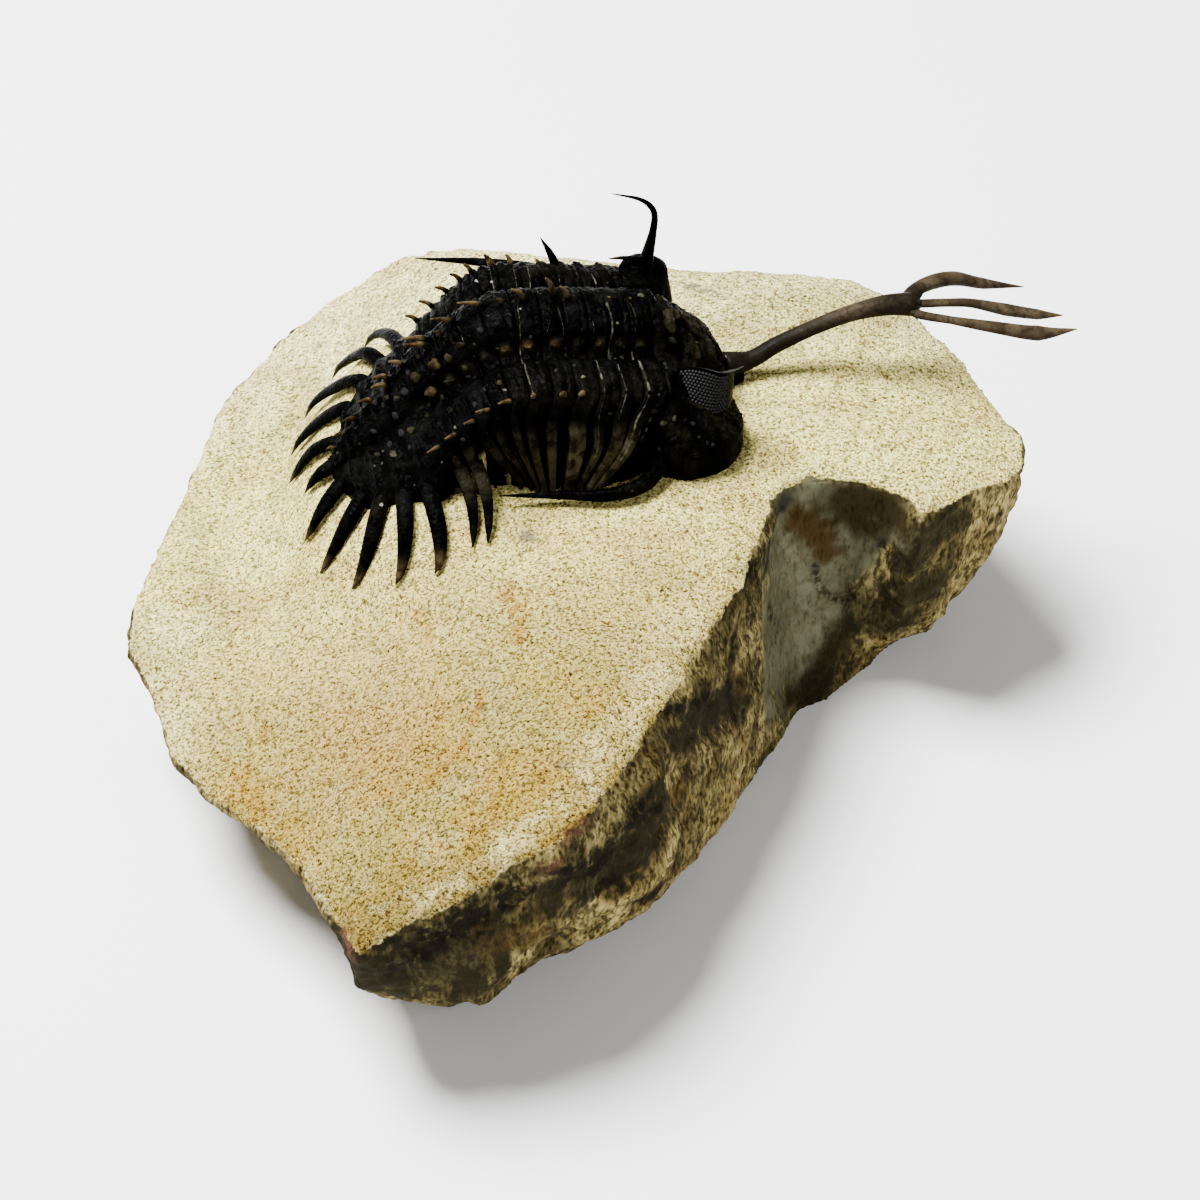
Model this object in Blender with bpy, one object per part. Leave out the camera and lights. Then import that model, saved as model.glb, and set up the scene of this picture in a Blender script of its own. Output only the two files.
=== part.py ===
"""A spiny trilobite with a three-pronged head fork, on the block of limestone it was freed from.

Written in millimetres and turned into metres when each mesh is made. +Z is up, the animal heads
towards +X, and the origin is the middle of the stone's flat underside.
"""
import math

import bmesh
import bpy
from mathutils import Vector
from mathutils.geometry import delaunay_2d_cdt

MM = 0.001
GAP = 0.3                  # clearance between neighbouring pieces

# The stone: its prepared top is level under the head and falls away beyond the tail.
TOP_LEVEL = 30.0
TAIL_FALL = 14.0           # how far the top drops from the head end to the tail end
TAIL_FALL_START = -2.0     # x where the drop begins
TAIL_FALL_LENGTH = 40.0
RIGHT_FALL = 3.0
FRONT_FALL = 2.0
BACK_FALL = 1.5
RIM_DROP = 1.0             # the worn edge lies this far below the top
MOUND_WIDTH = 9.5          # slope of the mound that the animal sits on
MOUND_REACH = 13.4         # how far from the body's middle line the mound stays level
MOUND_LEVEL = 29.6
MOUND_TAIL_LEVEL = 24.2

# Round the stone, starting at the far left: rim x, y; foot x, y; how far the side swells between.
STONE_STATIONS = [
    (-17.0, 65.8, -14.0, 57.0, 1.5), (-4.6, 58.5, -4.0, 52.5, 1.0), (4.5, 56.6, 4.0, 51.0, 1.0),
    (14.7, 55.2, 13.0, 50.0, 1.2), (22.6, 54.6, 20.0, 49.5, 1.0), (28.3, 54.2, 24.5, 48.5, 1.0),
    (31.6, 52.5, 27.0, 47.0, 1.0), (35.8, 48.1, 30.0, 45.0, 1.2), (39.8, 41.9, 33.5, 41.5, 1.5),
    (42.6, 35.6, 35.5, 38.5, 1.5), (45.5, 29.3, 36.5, 35.5, 1.5), (45.8, 24.4, 37.4, 32.0, 2.6),
    (43.4, 21.5, 36.8, 29.6, 3.8), (40.0, 20.0, 35.0, 27.5, 3.6), (36.6, 17.1, 33.8, 24.5, 4.0),
    (33.7, 14.3, 31.6, 22.1, 3.4), (31.3, 17.6, 29.8, 19.0, 0.4), (26.2, 19.2, 25.6, 14.6, -1.8),
    (20.9, 18.5, 22.0, 12.6, -1.6), (18.8, 17.3, 20.4, 10.0, -0.6), (17.0, 12.2, 18.9, 7.2, 0.3),
    (15.2, 6.2, 17.2, 3.6, 0.8), (13.0, 0.5, 15.0, 0.0, 1.8), (9.9, -5.1, 12.2, -4.6, 3.0),
    (7.8, -10.5, 9.2, -8.4, 3.4), (4.8, -15.9, 6.2, -12.2, 3.8), (2.4, -20.9, 4.2, -15.0, 4.8),
    (0.0, -25.7, 0.8, -17.0, 5.0), (-3.7, -30.2, -3.0, -18.6, 4.6), (-8.4, -32.4, -7.6, -20.8, 4.4),
    (-13.9, -35.3, -12.2, -24.4, 5.6), (-18.6, -35.8, -15.8, -25.4, 5.0),
    (-23.2, -37.4, -18.6, -24.6, 3.2), (-26.7, -30.4, -20.6, -20.0, 1.2),
    (-32.9, -20.5, -25.6, -13.0, 0.8), (-39.6, -13.3, -31.6, -7.0, 0.6), (-44.3, -7.1, -36.0, -1.4, 0.6),
    (-46.5, -0.1, -39.0, 4.0, 0.8), (-50.4, 8.5, -42.4, 10.4, 1.0), (-50.1, 16.0, -43.4, 17.0, 1.2),
    (-48.1, 25.3, -42.4, 25.0, 1.2), (-46.2, 33.4, -40.6, 32.0, 1.4), (-44.0, 46.3, -38.0, 42.0, 1.6),
    (-39.2, 56.8, -34.0, 50.4, 1.6), (-33.2, 64.6, -28.0, 56.0, 1.6), (-23.7, 68.5, -20.4, 58.6, 1.6),
]
SIDE_LEVELS = (0.0, 0.14, 0.32, 0.54, 0.78)     # heights of the side's rings, foot to rim
FINE_GRID = 3.2                                 # spacing of the top's points near the animal
COARSE_GRID = 6.4

# The animal's crest, one point for each segment boundary from the head to the end of the tail shield.
CREST = [
    (4.8, 31.4, 43.0), (2.2, 30.8, 43.5), (-0.3, 30.2, 44.1), (-2.8, 29.6, 44.6), (-5.3, 29.0, 45.0),
    (-7.8, 28.5, 45.3), (-10.3, 28.0, 45.3), (-12.7, 27.6, 44.6), (-14.8, 27.2, 43.4),
    (-16.7, 26.9, 41.8), (-18.6, 26.6, 40.0), (-20.6, 26.2, 38.2), (-22.2, 25.9, 35.9),
    (-23.8, 25.6, 33.6), (-25.7, 25.3, 31.3), (-27.4, 25.0, 29.1), (-28.5, 24.8, 27.0),
    (-28.8, 24.7, 25.4),
]
# Tips of the near side's ribs at the same boundaries; the far side mirrors them.
RIB_TIPS = [
    (1.8, 15.5, 31.0), (-0.2, 15.5, 31.0), (-2.0, 15.5, 31.0), (-3.7, 15.5, 31.0), (-5.1, 15.6, 31.0),
    (-6.2, 15.6, 31.0), (-7.2, 15.7, 30.9), (-8.4, 16.0, 30.8), (-9.8, 16.2, 30.7),
    (-11.4, 16.3, 30.6), (-13.2, 16.2, 30.5), (-15.1, 15.9, 30.5),
]
SEGMENTS = 11
RIB_SPINE = 7.4            # free spines of the last two rings
YAW_STATIONS = ((0.0, 15.5), (1.5, 14.0), (4.0, 12.0), (8.0, 10.5), (17.0, 10.0))
SHEET_LIFT = 0.45          # the animal's underside clears the stone by this much

# One half of the cross-section: furrow beside the axis, hinge line of the ribs.
AXIS_HALF = 4.2
AXIS_RISE = 3.4
RIB_CROWN = (7.4, 2.9)     # sideways, below the crest
RIB_HINGE = (10.8, 3.8)

# Tail shield: sideways, backwards from its front edge, height of each spine's root, and the spine's
# reach sideways, backwards and down to its tip.
TAIL_SPINES = [
    ((11.9, -0.9, 31.3), (7.7, 2.0, 6.0)),
    ((10.7, 1.6, 29.9), (7.5, 3.5, 7.2)),
    ((9.4, 3.8, 28.3), (5.5, 5.3, 7.8)),
    ((7.2, 5.8, 26.7), (3.0, 5.8, 7.2)),
    ((3.3, 7.5, 25.4), (1.9, 5.0, 6.4)),
    ((0.0, 8.2, 24.9), (0.0, 3.2, 4.4)),
]
TAIL_SPINE_WIDTH = 1.6
TAIL_SPINE_YAW = 20.0
TAIL_SPINE_BOW = 0.8
TAIL_CREST_AT = (11.5, 12.6, 13.7, 14.9, 16.1, 17.0)

# Head, in its own plan: forwards and sideways from the end of the crest.
HEAD_YAW = 16.0
# The front edge as one half's points, forwards and sideways, from the neck of the fork to the cheek;
# each is the end of one column of the head's surface.
HEAD_EDGE = [(11.1, 0.0), (10.7, 1.1), (8.6, 2.0), (7.8, 3.6), (8.3, 6.2), (8.1, 9.2), (6.8, 12.0),
             (4.2, 14.0), (0.6, 14.5)]
HEAD_LENGTH = 8.6
HEAD_HALF = 14.8
HEAD_ROLL = 0.06           # the far cheek lies this much lower, per millimetre from the middle
GENAL_CORNER = (-2.6, 13.0)
EYE_FOOT = 33.6
# Each eye: sideways place, stalk's back and front, brim's back and front, brim's half width, top.
EYES = {"near": (-7.6, 0.9, 6.6, 2.4, 7.8, 2.6, 39.6), "far": (7.9, 0.6, 4.2, 0.05, 4.5, 1.9, 41.0)}

SHAFT = [(16.3, 34.8, 31.9), (18.9, 35.6, 33.2), (22.7, 36.5, 34.8), (26.8, 37.4, 36.1),
         (30.6, 38.3, 36.5), (33.4, 39.0, 36.1)]
SHAFT_HALF = ((1.0, 1.1), (0.95, 1.0), (0.9, 0.9), (1.0, 0.9), (1.7, 0.8), (2.5, 0.7))
TINES = {
    "left": [(34.0, 41.0, 36.3), (36.2, 42.8, 36.1), (38.8, 44.1, 35.5), (42.0, 45.0, 34.1),
             (46.7, 46.0, 32.8)],
    "middle": [(34.4, 39.2, 36.0), (37.6, 39.6, 35.8), (40.2, 40.0, 35.4), (44.0, 40.5, 34.1),
               (47.6, 40.8, 33.2), (50.5, 41.1, 32.8)],
    "right": [(34.3, 37.5, 35.9), (37.8, 37.0, 35.5), (42.0, 36.9, 34.7), (47.2, 37.0, 33.7),
              (51.5, 37.2, 34.1)],
}
TINE_HALF = ((0.75, 0.6), (0.62, 0.5), (0.6, 0.45), (0.62, 0.42), (0.5, 0.35), (0.08, 0.08))

BLACK_SHELL = (0.021, 0.018, 0.015)
BROWN_SHELL = (0.105, 0.066, 0.037)
LIMESTONE = (0.62, 0.58, 0.44)


def smooth_step(u):
    u = min(max(u, 0.0), 1.0)
    return u * u * (3.0 - 2.0 * u)


def mix(a, b, t):
    return a + (b - a) * t


def curve_at(points, t):
    """A smooth curve through the points, at t points from the first."""
    last = len(points) - 1
    i = min(max(int(math.floor(t)), 0), last - 1)
    f = t - i
    p1 = Vector(points[i])
    p2 = Vector(points[i + 1])
    p0 = Vector(points[i - 1]) if i > 0 else p1 * 2 - p2
    p3 = Vector(points[i + 2]) if i + 2 <= last else p2 * 2 - p1
    return 0.5 * (p1 * 2 + (p2 - p0) * f + (p0 * 2 - p1 * 5 + p2 * 4 - p3) * f * f
                  + (p1 * 3 - p0 - p2 * 3 + p3) * f * f * f)


def yaw_at(t):
    """Heading of the body in plan, in radians, at a place along its crest."""
    stations = YAW_STATIONS
    if t <= stations[0][0]:
        return math.radians(stations[0][1])
    for (t0, a0), (t1, a1) in zip(stations, stations[1:]):
        if t <= t1:
            return math.radians(mix(a0, a1, (t - t0) / (t1 - t0)))
    return math.radians(stations[-1][1])


def heading(angle):
    """Unit vectors forwards and to the animal's left, both level."""
    return (Vector((math.cos(angle), math.sin(angle), 0.0)),
            Vector((-math.sin(angle), math.cos(angle), 0.0)))


def ground(x, y):
    """Height of the stone's prepared top."""
    z = TOP_LEVEL - TAIL_FALL * smooth_step((TAIL_FALL_START - x) / TAIL_FALL_LENGTH)
    z -= RIGHT_FALL * smooth_step((x - 22.0) / 26.0)
    z -= FRONT_FALL * smooth_step((-15.0 - y) / 35.0)
    z -= BACK_FALL * smooth_step((y - 40.0) / 25.0)
    head = Vector(CREST[0][:2])
    tail = Vector(CREST[SEGMENTS][:2])
    along = tail - head
    place = (Vector((x, y)) - head).dot(along) / along.length_squared
    nearest = head + along * min(max(place, 0.0), 1.0)
    offset = Vector((x, y)) - nearest
    behind = max(place - 1.0, 0.0) * along.length
    reach = math.hypot(offset.length, behind * 1.15)
    level = mix(MOUND_LEVEL, MOUND_TAIL_LEVEL, smooth_step(behind / 9.5))
    if place < 0.0:
        return z
    return max(z, mix(level, z, smooth_step((reach - MOUND_REACH) / MOUND_WIDTH)))


def make_material(name, colour, roughness):
    material = bpy.data.materials.new(name)
    material.use_nodes = True
    shader = material.node_tree.nodes["Principled BSDF"]
    shader.inputs["Base Color"].default_value = (*colour, 1.0)
    shader.inputs["Roughness"].default_value = roughness
    shader.inputs["Metallic"].default_value = 0.0
    material.diffuse_color = (*colour, 1.0)
    return material


def make_object(name, bm, material):
    """Close the mesh's books: merge, turn the faces outwards, scale to metres."""
    bmesh.ops.remove_doubles(bm, verts=bm.verts, dist=0.002)
    bmesh.ops.dissolve_degenerate(bm, edges=bm.edges, dist=0.001)
    bmesh.ops.triangulate(bm, faces=[f for f in bm.faces if len(f.verts) > 3])
    bmesh.ops.recalc_face_normals(bm, faces=bm.faces)
    bmesh.ops.scale(bm, vec=(MM, MM, MM), verts=bm.verts)
    mesh = bpy.data.meshes.new(name)
    bm.to_mesh(mesh)
    bm.free()
    mesh.materials.append(material)
    obj = bpy.data.objects.new(name, mesh)
    bpy.context.collection.objects.link(obj)
    return obj


def add_grid(bm, rows):
    """Quads between rows of points; returns the vertices and the faces, row by row."""
    verts = [[bm.verts.new(p) for p in row] for row in rows]
    faces = []
    for a, b in zip(verts, verts[1:]):
        faces.append([bm.faces.new((a[i], a[i + 1], b[i + 1], b[i])) for i in range(len(a) - 1)])
    return verts, faces


def solid_over_ground(bm, rows, folded=False):
    """A sheet of points closed down to just above the stone. Returns its top faces and its walls.

    A folded sheet fans out from its first column, so it has no wall there.
    """
    top, faces = add_grid(bm, rows)
    floor = [[Vector((p.x, p.y, min(ground(p.x, p.y) + SHEET_LIFT, p.z - 0.25))) for p in row]
             for row in rows]
    bottom, _ = add_grid(bm, floor)
    rim = list(zip(top[0], bottom[0]))
    rim += [(row[-1], low[-1]) for row, low in zip(top[1:], bottom[1:])]
    rim += list(zip(top[-1], bottom[-1]))[-2::-1]
    if not folded:
        rim += [(row[0], low[0]) for row, low in zip(top[-2:0:-1], bottom[-2:0:-1])]
        rim.append(rim[0])
    walls = [bm.faces.new((a, b, d, c)) for (a, c), (b, d) in zip(rim, rim[1:])]
    return faces, walls


def grow_spine(bm, face, path, widths):
    """Draw one face out along a path, narrowing it, and close it to a point."""
    centre = face.calc_center_median()
    ring = [v.co - centre for v in face.verts]
    size = sum(r.length for r in ring) / len(ring)
    normal = face.normal.copy() if face.normal.length > 0 else Vector((0, 0, 1))
    for i, (point, width) in enumerate(zip(path, widths)):
        before = path[i - 1] if i else centre
        direction = (Vector(point) - Vector(before)).normalized()
        turn = normal.rotation_difference(direction)
        grown = bmesh.ops.extrude_discrete_faces(bm, faces=[face])
        face = grown["faces"][0]
        for vert, offset in zip(face.verts, ring):
            vert.co = Vector(point) + turn @ (offset * (width / size))
    bmesh.ops.pointmerge(bm, verts=list(face.verts), merge_co=Vector(path[-1]))


def nearest_face(faces, point):
    """The face closest to the point, of those that no spine has been drawn from yet."""
    free = [f for f in faces if f.is_valid]
    for face in free:
        face.normal_update()
    return min(free, key=lambda f: (f.calc_center_median() - Vector(point)).length)


def half_section(t, side):
    """Points from the crest to the rib tip at place t, on side +1 (far, left) or -1 (near)."""
    crest = curve_at(CREST, t)
    forward, left = heading(yaw_at(t))
    run = curve_at(CREST, t - 0.2) - curve_at(CREST, t + 0.2)
    up = run.cross(left).normalized()
    tip = curve_at(RIB_TIPS, t)
    reach = tip - crest
    tip = crest + forward * reach.dot(forward) - left * reach.dot(left) * side + Vector((0, 0, reach.z))
    taper = mix(1.0, 0.86, smooth_step((t - 6.0) / 5.0))
    half = AXIS_HALF * taper
    rise = AXIS_RISE * taper

    def at(sideways, below):
        return crest + left * sideways * side - up * below

    hinge = at(RIB_HINGE[0] * mix(1.0, 0.93, smooth_step((t - 7.0) / 4.0)), RIB_HINGE[1])
    fall = tip - hinge
    out = Vector((fall.x, fall.y, 0.0))
    return [crest, at(half * 0.45, rise * 0.1), at(half * 0.82, rise * 0.42), at(half, rise),
            at(RIB_CROWN[0], RIB_CROWN[1]), hinge,
            hinge + out * 0.42 + Vector((0, 0, fall.z * 0.22)),
            hinge + out * 0.78 + Vector((0, 0, fall.z * 0.56)), tip]


RIB_NARROWING = (1.0, 1.0, 1.0, 1.0, 1.0, 1.0, 0.9, 0.78, 0.62)
RING_RELIEF = {0: (-0.35, 0.2, 0.35, 0.0), 1: (-0.35, 0.2, 0.35, 0.0), 2: (-0.3, 0.15, 0.25, 0.0),
               4: (0.0, -0.3, 0.2, -0.1), 5: (0.0, -0.15, 0.15, -0.1)}


def thoracic_segment(number, material):
    """One jointed ring of the body with its two ribs and its spines."""
    start = number - 1
    clear = 0.07
    columns = [clear, 0.34, 0.66, 1.0 - clear]
    rows = []
    for k, column in enumerate(columns):
        sides = []
        for side in (-1, 1):
            points = []
            for j, narrow in enumerate(RIB_NARROWING):
                t = start + 0.5 + (column - 0.5) * narrow
                lift = RING_RELIEF.get(j, (0.0,) * 4)[k]
                points.append(half_section(t, side)[j] + Vector((0, 0, lift)))
            sides.append(points)
        rows.append(sides[0][::-1] + sides[1][1:])
    bm = bmesh.new()
    faces, walls = solid_over_ground(bm, rows)
    back = faces[-1]
    middle = start + 0.5
    forward, left = heading(yaw_at(middle))
    long_spine = {3: 1.3, 4: 1.4, 5: 1.7, 7: 3.2, 8: 2.6, 10: 2.8}.get(number, 0.9)
    root = half_section(start + 0.82, 1)[0]
    grow_spine(bm, nearest_face(back, root),
               [root - forward * long_spine * 0.35 + Vector((0, 0, 0.55)),
                root - forward * long_spine + Vector((0, 0, 0.75))], (0.3, 0.1))
    for side in (-1, 1):
        hinge = half_section(start + 0.8, side)[5]
        horn = number == 3 and side == 1
        reach = 3.7 if horn else min(0.9 + 0.12 * number, 1.5)
        lean = Vector((0, 0, 1.0 if side == 1 else 0.35)) + left * side * (0.1 if horn else 0.35)
        size = 0.6 if horn else 0.28
        grow_spine(bm, nearest_face(back, hinge),
                   [hinge + lean * reach * 0.45 - forward * reach * 0.2,
                    hinge + lean * reach - forward * reach * 0.4], (size, 0.1))
        if number >= 10:
            rib_spine(bm, walls, start + 0.5, side)
    return make_object(f"thoracic_segment_{number:02d}", bm, material)


def rib_spine(bm, walls, t, side):
    """The long free spine at the tip of the last two ribs."""
    section = half_section(t, side)
    tip = section[-1]
    out = heading(yaw_at(t))[1] * side
    path = []
    for share in (0.33, 0.67, 1.0):
        p = tip + out * RIB_SPINE * share
        p.z = max(tip.z - 4.0 * share ** 1.6, ground(p.x, p.y) + 1.05 - 0.45 * share)
        path.append(p)
    grow_spine(bm, nearest_face(walls, tip), path, (0.5, 0.45, 0.12))


def tail_shield(material):
    """The tail shield and its eleven claw-like spines, one solid."""
    start = SEGMENTS + 0.07
    forward, left = heading(math.radians(10.0))
    origin = curve_at(CREST, SEGMENTS)
    half = TAIL_SPINE_WIDTH / 2
    places = [(root, reach, at, side) for side in (-1, 1)
              for (root, reach), at in zip(TAIL_SPINES, TAIL_CREST_AT) if not (side == 1 and root[0] == 0)]
    places.sort(key=lambda p: p[3] * p[0][0] - (0.001 if p[3] < 0 else 0))
    near = [p for p in places if p[3] < 0]
    far = [p for p in places if p[3] > 0]
    near.sort(key=lambda p: -p[0][0])
    far.sort(key=lambda p: p[0][0])

    def margin(root, side):
        p = origin - forward * root[1] + left * root[0] * side
        return Vector((p.x, p.y, root[2]))

    stations = []
    order = near + far
    for i, (root, reach, at, side) in enumerate(order):
        here = margin(root, side)
        before = margin(*[(o[0], o[3]) for o in order][max(i - 1, 0)])
        after = margin(*[(o[0], o[3]) for o in order][min(i + 1, len(order) - 1)])
        along = (after - before).normalized()
        for edge in (-half, half):
            stations.append((here + along * edge, at))
    rows = [tail_row(at, edge) for edge, at in stations]
    rows = [half_section(start, -1)] + rows + [half_section(start, 1)]
    bm = bmesh.new()
    faces, walls = solid_over_ground(bm, rows, folded=True)
    swept, spread = heading(math.radians(TAIL_SPINE_YAW))
    for root, reach, at, side in order:
        here = margin(root, side)
        path = []
        for share in (0.3, 0.65, 1.0):
            away = 1.0 - (1.0 - share) ** 1.7
            bow = swept * TAIL_SPINE_BOW * math.sin(math.pi * share)
            p = here + (spread * reach[0] * side - swept * reach[1]) * away + bow
            z = here.z - reach[2] * share ** 1.25
            path.append(Vector((p.x, p.y, max(z, ground(p.x, p.y) + 1.05 - 0.45 * share))))
        grow_spine(bm, nearest_face(walls, here), path, (0.95, 0.85, 0.15))
    return make_object("pygidium", bm, material)


TAIL_ROW = ((0.0, 1.0), (0.13, 0.96), (0.24, 0.85), (0.32, 0.6), (0.5, 0.58), (0.68, 0.5),
            (0.82, 0.36), (0.93, 0.17), (1.0, 0.0))


def tail_row(t, edge):
    """From the shield's crest out to a point on its margin."""
    crest = curve_at(CREST, t)
    return [Vector((mix(crest.x, edge.x, share), mix(crest.y, edge.y, share),
                    mix(edge.z, crest.z, height))) for share, height in TAIL_ROW]


def head_height(ahead, sideways):
    """The head's surface: flat-topped cheeks with steep edges, and the swollen middle lobe on them."""
    to_front = 1.0 - min(max(ahead, 0.0) / HEAD_LENGTH, 1.0) ** 3
    to_side = 1.0 - min(abs(sideways) / HEAD_HALF, 1.0) ** 3.5
    cheeks = (8.4 - 0.65 * max(ahead, 0.0)) * (to_front * to_side) ** 0.8
    half = mix(4.2, 4.7, smooth_step(ahead / 7.0))
    half = mix(half, 1.5, smooth_step((ahead - 7.4) / 2.0))
    lobe = 0.0
    if abs(sideways) < half:
        swell = mix(3.8, 4.5, smooth_step(ahead / 6.0)) * mix(1.0, 0.45, smooth_step((ahead - 6.6) / 2.8))
        lobe = swell * (1.0 - (sideways / half) ** 2) ** 0.7
    return 30.8 + cheeks + lobe


def cephalon(material):
    """The head shield with its middle lobe, two eye towers, cheek spines and eye horn."""
    forward, left = heading(math.radians(HEAD_YAW))
    origin = Vector(CREST[0])

    def local(p):
        d = Vector(p) - origin
        return d.dot(forward), d.dot(left)

    def world(ahead, sideways, z):
        p = origin + forward * ahead + left * sideways
        return Vector((p.x, p.y, z))

    columns = []
    for side in (-1, 1):
        section = half_section(-0.09, side)
        corner = world(GENAL_CORNER[0], GENAL_CORNER[1] * side, 31.3)
        upper = section[5].lerp(corner, 0.55)
        upper.z = mix(section[5].z, corner.z, 0.3)
        lower = section[5].lerp(corner, 0.88)
        lower.z = mix(section[5].z, corner.z, 0.66)
        columns.append(section[:6] + [upper, lower, corner])
    rear = columns[0][::-1] + columns[1][1:]
    rows = []
    for share in (0.0, 0.08, 0.22, 0.4, 0.58, 0.73, 0.85, 0.93, 0.98, 1.0):
        row = []
        for j, p in enumerate(rear):
            ahead, sideways = local(p)
            front = HEAD_EDGE[abs(j - 8)]
            place = mix(ahead, front[0], share)
            across = mix(sideways, math.copysign(front[1], j - 8), share)
            z = mix(p.z, head_height(place, across) - HEAD_ROLL * across, smooth_step(share / 0.3))
            row.append(world(place, across, max(z, 30.9)))
        rows.append(row)
    bm = bmesh.new()
    faces, walls = solid_over_ground(bm, rows)
    near_path = [(4.6, 15.7, 31.1), (0.8, 14.2, 31.0), (-4.0, 14.2, 31.0), (-10.4, 14.2, 30.9)]
    far_path = [(-3.0, 45.2, 33.2), (-7.0, 47.0, 34.4), (-13.2, 47.7, 34.9), (-20.3, 47.5, 35.6)]
    for side, path in ((-1, near_path), (1, far_path)):
        root = world(GENAL_CORNER[0] + 0.4, GENAL_CORNER[1] * side, 31.1)
        grow_spine(bm, nearest_face(walls, root), path, (0.5, 0.45, 0.42, 0.1))
    head = make_object("cephalon", bm, material)
    for name, eye in EYES.items():
        tower = eye_tower(name, origin, forward, left, eye, material)
        join = head.modifiers.new(f"{name} eye", "BOOLEAN")
        join.operation = "UNION"
        join.solver = "EXACT"
        join.object = tower
    return head


def eye_tower(name, origin, forward, left, eye, material):
    """A stubby lens tower under an overhanging brim; the far one carries the tall curved horn."""
    sideways, stalk_back, stalk_front, brim_back, brim_front, half, top = eye
    rings = []
    bm = bmesh.new()
    sides = 10
    for height, brim in ((0.0, 0.0), (0.66, 0.0), (0.84, 1.0), (0.93, 1.0), (1.0, 0.45)):
        back = mix(stalk_back, brim_back, brim)
        front = mix(stalk_front, brim_front, brim)
        wide = mix(half * 0.8, half, brim)
        ring = []
        for i in range(sides):
            a = 2 * math.pi * i / sides
            p = (origin + forward * ((back + front) / 2 + (front - back) / 2 * math.cos(a))
                 + left * (sideways + wide * math.sin(a)))
            ring.append(bm.verts.new((p.x, p.y, mix(EYE_FOOT, top, height))))
        rings.append(ring)
    for a, b in zip(rings, rings[1:]):
        for i in range(sides):
            bm.faces.new((a[i], a[(i + 1) % sides], b[(i + 1) % sides], b[i]))
    bm.faces.new(rings[0][::-1])
    cap = bm.faces.new(rings[-1])
    bmesh.ops.recalc_face_normals(bm, faces=bm.faces)
    if name == "far":
        path = [(5.0, 40.0, 41.8), (5.6, 40.2, 45.0), (5.75, 40.2, 47.2), (5.2, 40.2, 48.5),
                (3.9, 40.3, 49.3), (1.2, 40.4, 49.9)]
        grow_spine(bm, cap, path, (0.6, 0.4, 0.36, 0.3, 0.22, 0.08))
    tower = make_object(f"eye_tower_{name}", bm, material)
    tower.hide_render = True
    tower.display_type = "WIRE"
    return tower


def tube(name, path, halves, material):
    """A six-sided tube along a path, wider than deep, closed at both ends."""
    bm = bmesh.new()
    rings = []
    points = [Vector(p) for p in path]
    for i, (point, (wide, deep)) in enumerate(zip(points, halves)):
        run = (points[min(i + 1, len(points) - 1)] - points[max(i - 1, 0)]).normalized()
        side = Vector((0, 0, 1)).cross(run).normalized()
        up = run.cross(side).normalized()
        rings.append([bm.verts.new(point + side * wide * math.cos(a) + up * deep * math.sin(a))
                      for a in (math.radians(60 * k) for k in range(6))])
    for a, b in zip(rings, rings[1:]):
        for i in range(6):
            bm.faces.new((a[i], a[(i + 1) % 6], b[(i + 1) % 6], b[i]))
    bm.faces.new(rings[0][::-1])
    bm.faces.new(rings[-1])
    return make_object(name, bm, material)


def matrix_stone(material):
    """The limestone block: a prepared top, broken sides and a flat underside."""
    count = len(STONE_STATIONS)
    rim = [Vector((s[0], s[1], ground(s[0], s[1]) - RIM_DROP)) for s in STONE_STATIONS]
    foot = [Vector((s[2], s[3], 0.0)) for s in STONE_STATIONS]
    bm = bmesh.new()
    rings = []
    for level in SIDE_LEVELS:
        ring = []
        for i in range(count):
            ahead = rim[(i + 1) % count] - rim[i - 1]
            out = Vector((-ahead.y, ahead.x, 0.0)).normalized()
            swell = STONE_STATIONS[i][4] * math.sin(math.pi * level ** 0.75)
            p = foot[i].lerp(rim[i], level) + out * swell
            if 0.0 < level:
                lump = 0.45 * math.sin(2.3 * i + 5.0 * level) + 0.3 * math.sin(5.1 * i - 7.0 * level)
                p += out * lump * math.sin(math.pi * level)
            ring.append(bm.verts.new(p))
        rings.append(ring)
    rim_ring = [bm.verts.new(p) for p in rim]
    rings.append(rim_ring)
    for a, b in zip(rings, rings[1:]):
        for i in range(count):
            bm.faces.new((a[i], a[(i + 1) % count], b[(i + 1) % count], b[i]))
    bm.faces.new(rings[0][::-1])
    stone_top(bm, rim_ring)
    return make_object("matrix_stone", bm, material)


def inside(point, outline, keep):
    """Whether a point lies in the outline and further than keep from its edge."""
    hit = False
    for a, b in zip(outline, outline[1:] + outline[:1]):
        if (a.y > point.y) != (b.y > point.y):
            if point.x < (b.x - a.x) * (point.y - a.y) / (b.y - a.y) + a.x:
                hit = not hit
        along = b - a
        share = min(max((point - a).dot(along) / along.length_squared, 0.0), 1.0)
        if (point - a - along * share).length < keep:
            return False
    return hit


def stone_top(bm, rim_ring):
    """Points on the prepared top, close together round the animal, joined to the rim."""
    outline = [Vector(v.co[:2]) for v in rim_ring]
    points = list(outline)
    row = 0
    y = -40.0
    while y < 70.0:
        x = -52.0 + (FINE_GRID / 2 if row % 2 else 0.0)
        column = 0
        while x < 48.0:
            fine = -38.0 < x < 4.0 and 2.0 < y < 50.0
            if fine or (row % 2 == 0 and column % 2 == 0):
                p = Vector((x, y))
                if inside(p, outline, 1.6 if fine else 2.6):
                    points.append(p)
            x += FINE_GRID
            column += 1
        y += FINE_GRID * 0.87
        row += 1
    edges = [(i, (i + 1) % len(outline)) for i in range(len(outline))]
    placed, _, faces, _, _, _ = delaunay_2d_cdt(points, edges, [], 1, 1e-4)
    verts = list(rim_ring)
    for p in placed[len(outline):]:
        verts.append(bm.verts.new((p.x, p.y, ground(p.x, p.y))))
    for face in faces:
        bm.faces.new([verts[i] for i in face])


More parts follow.
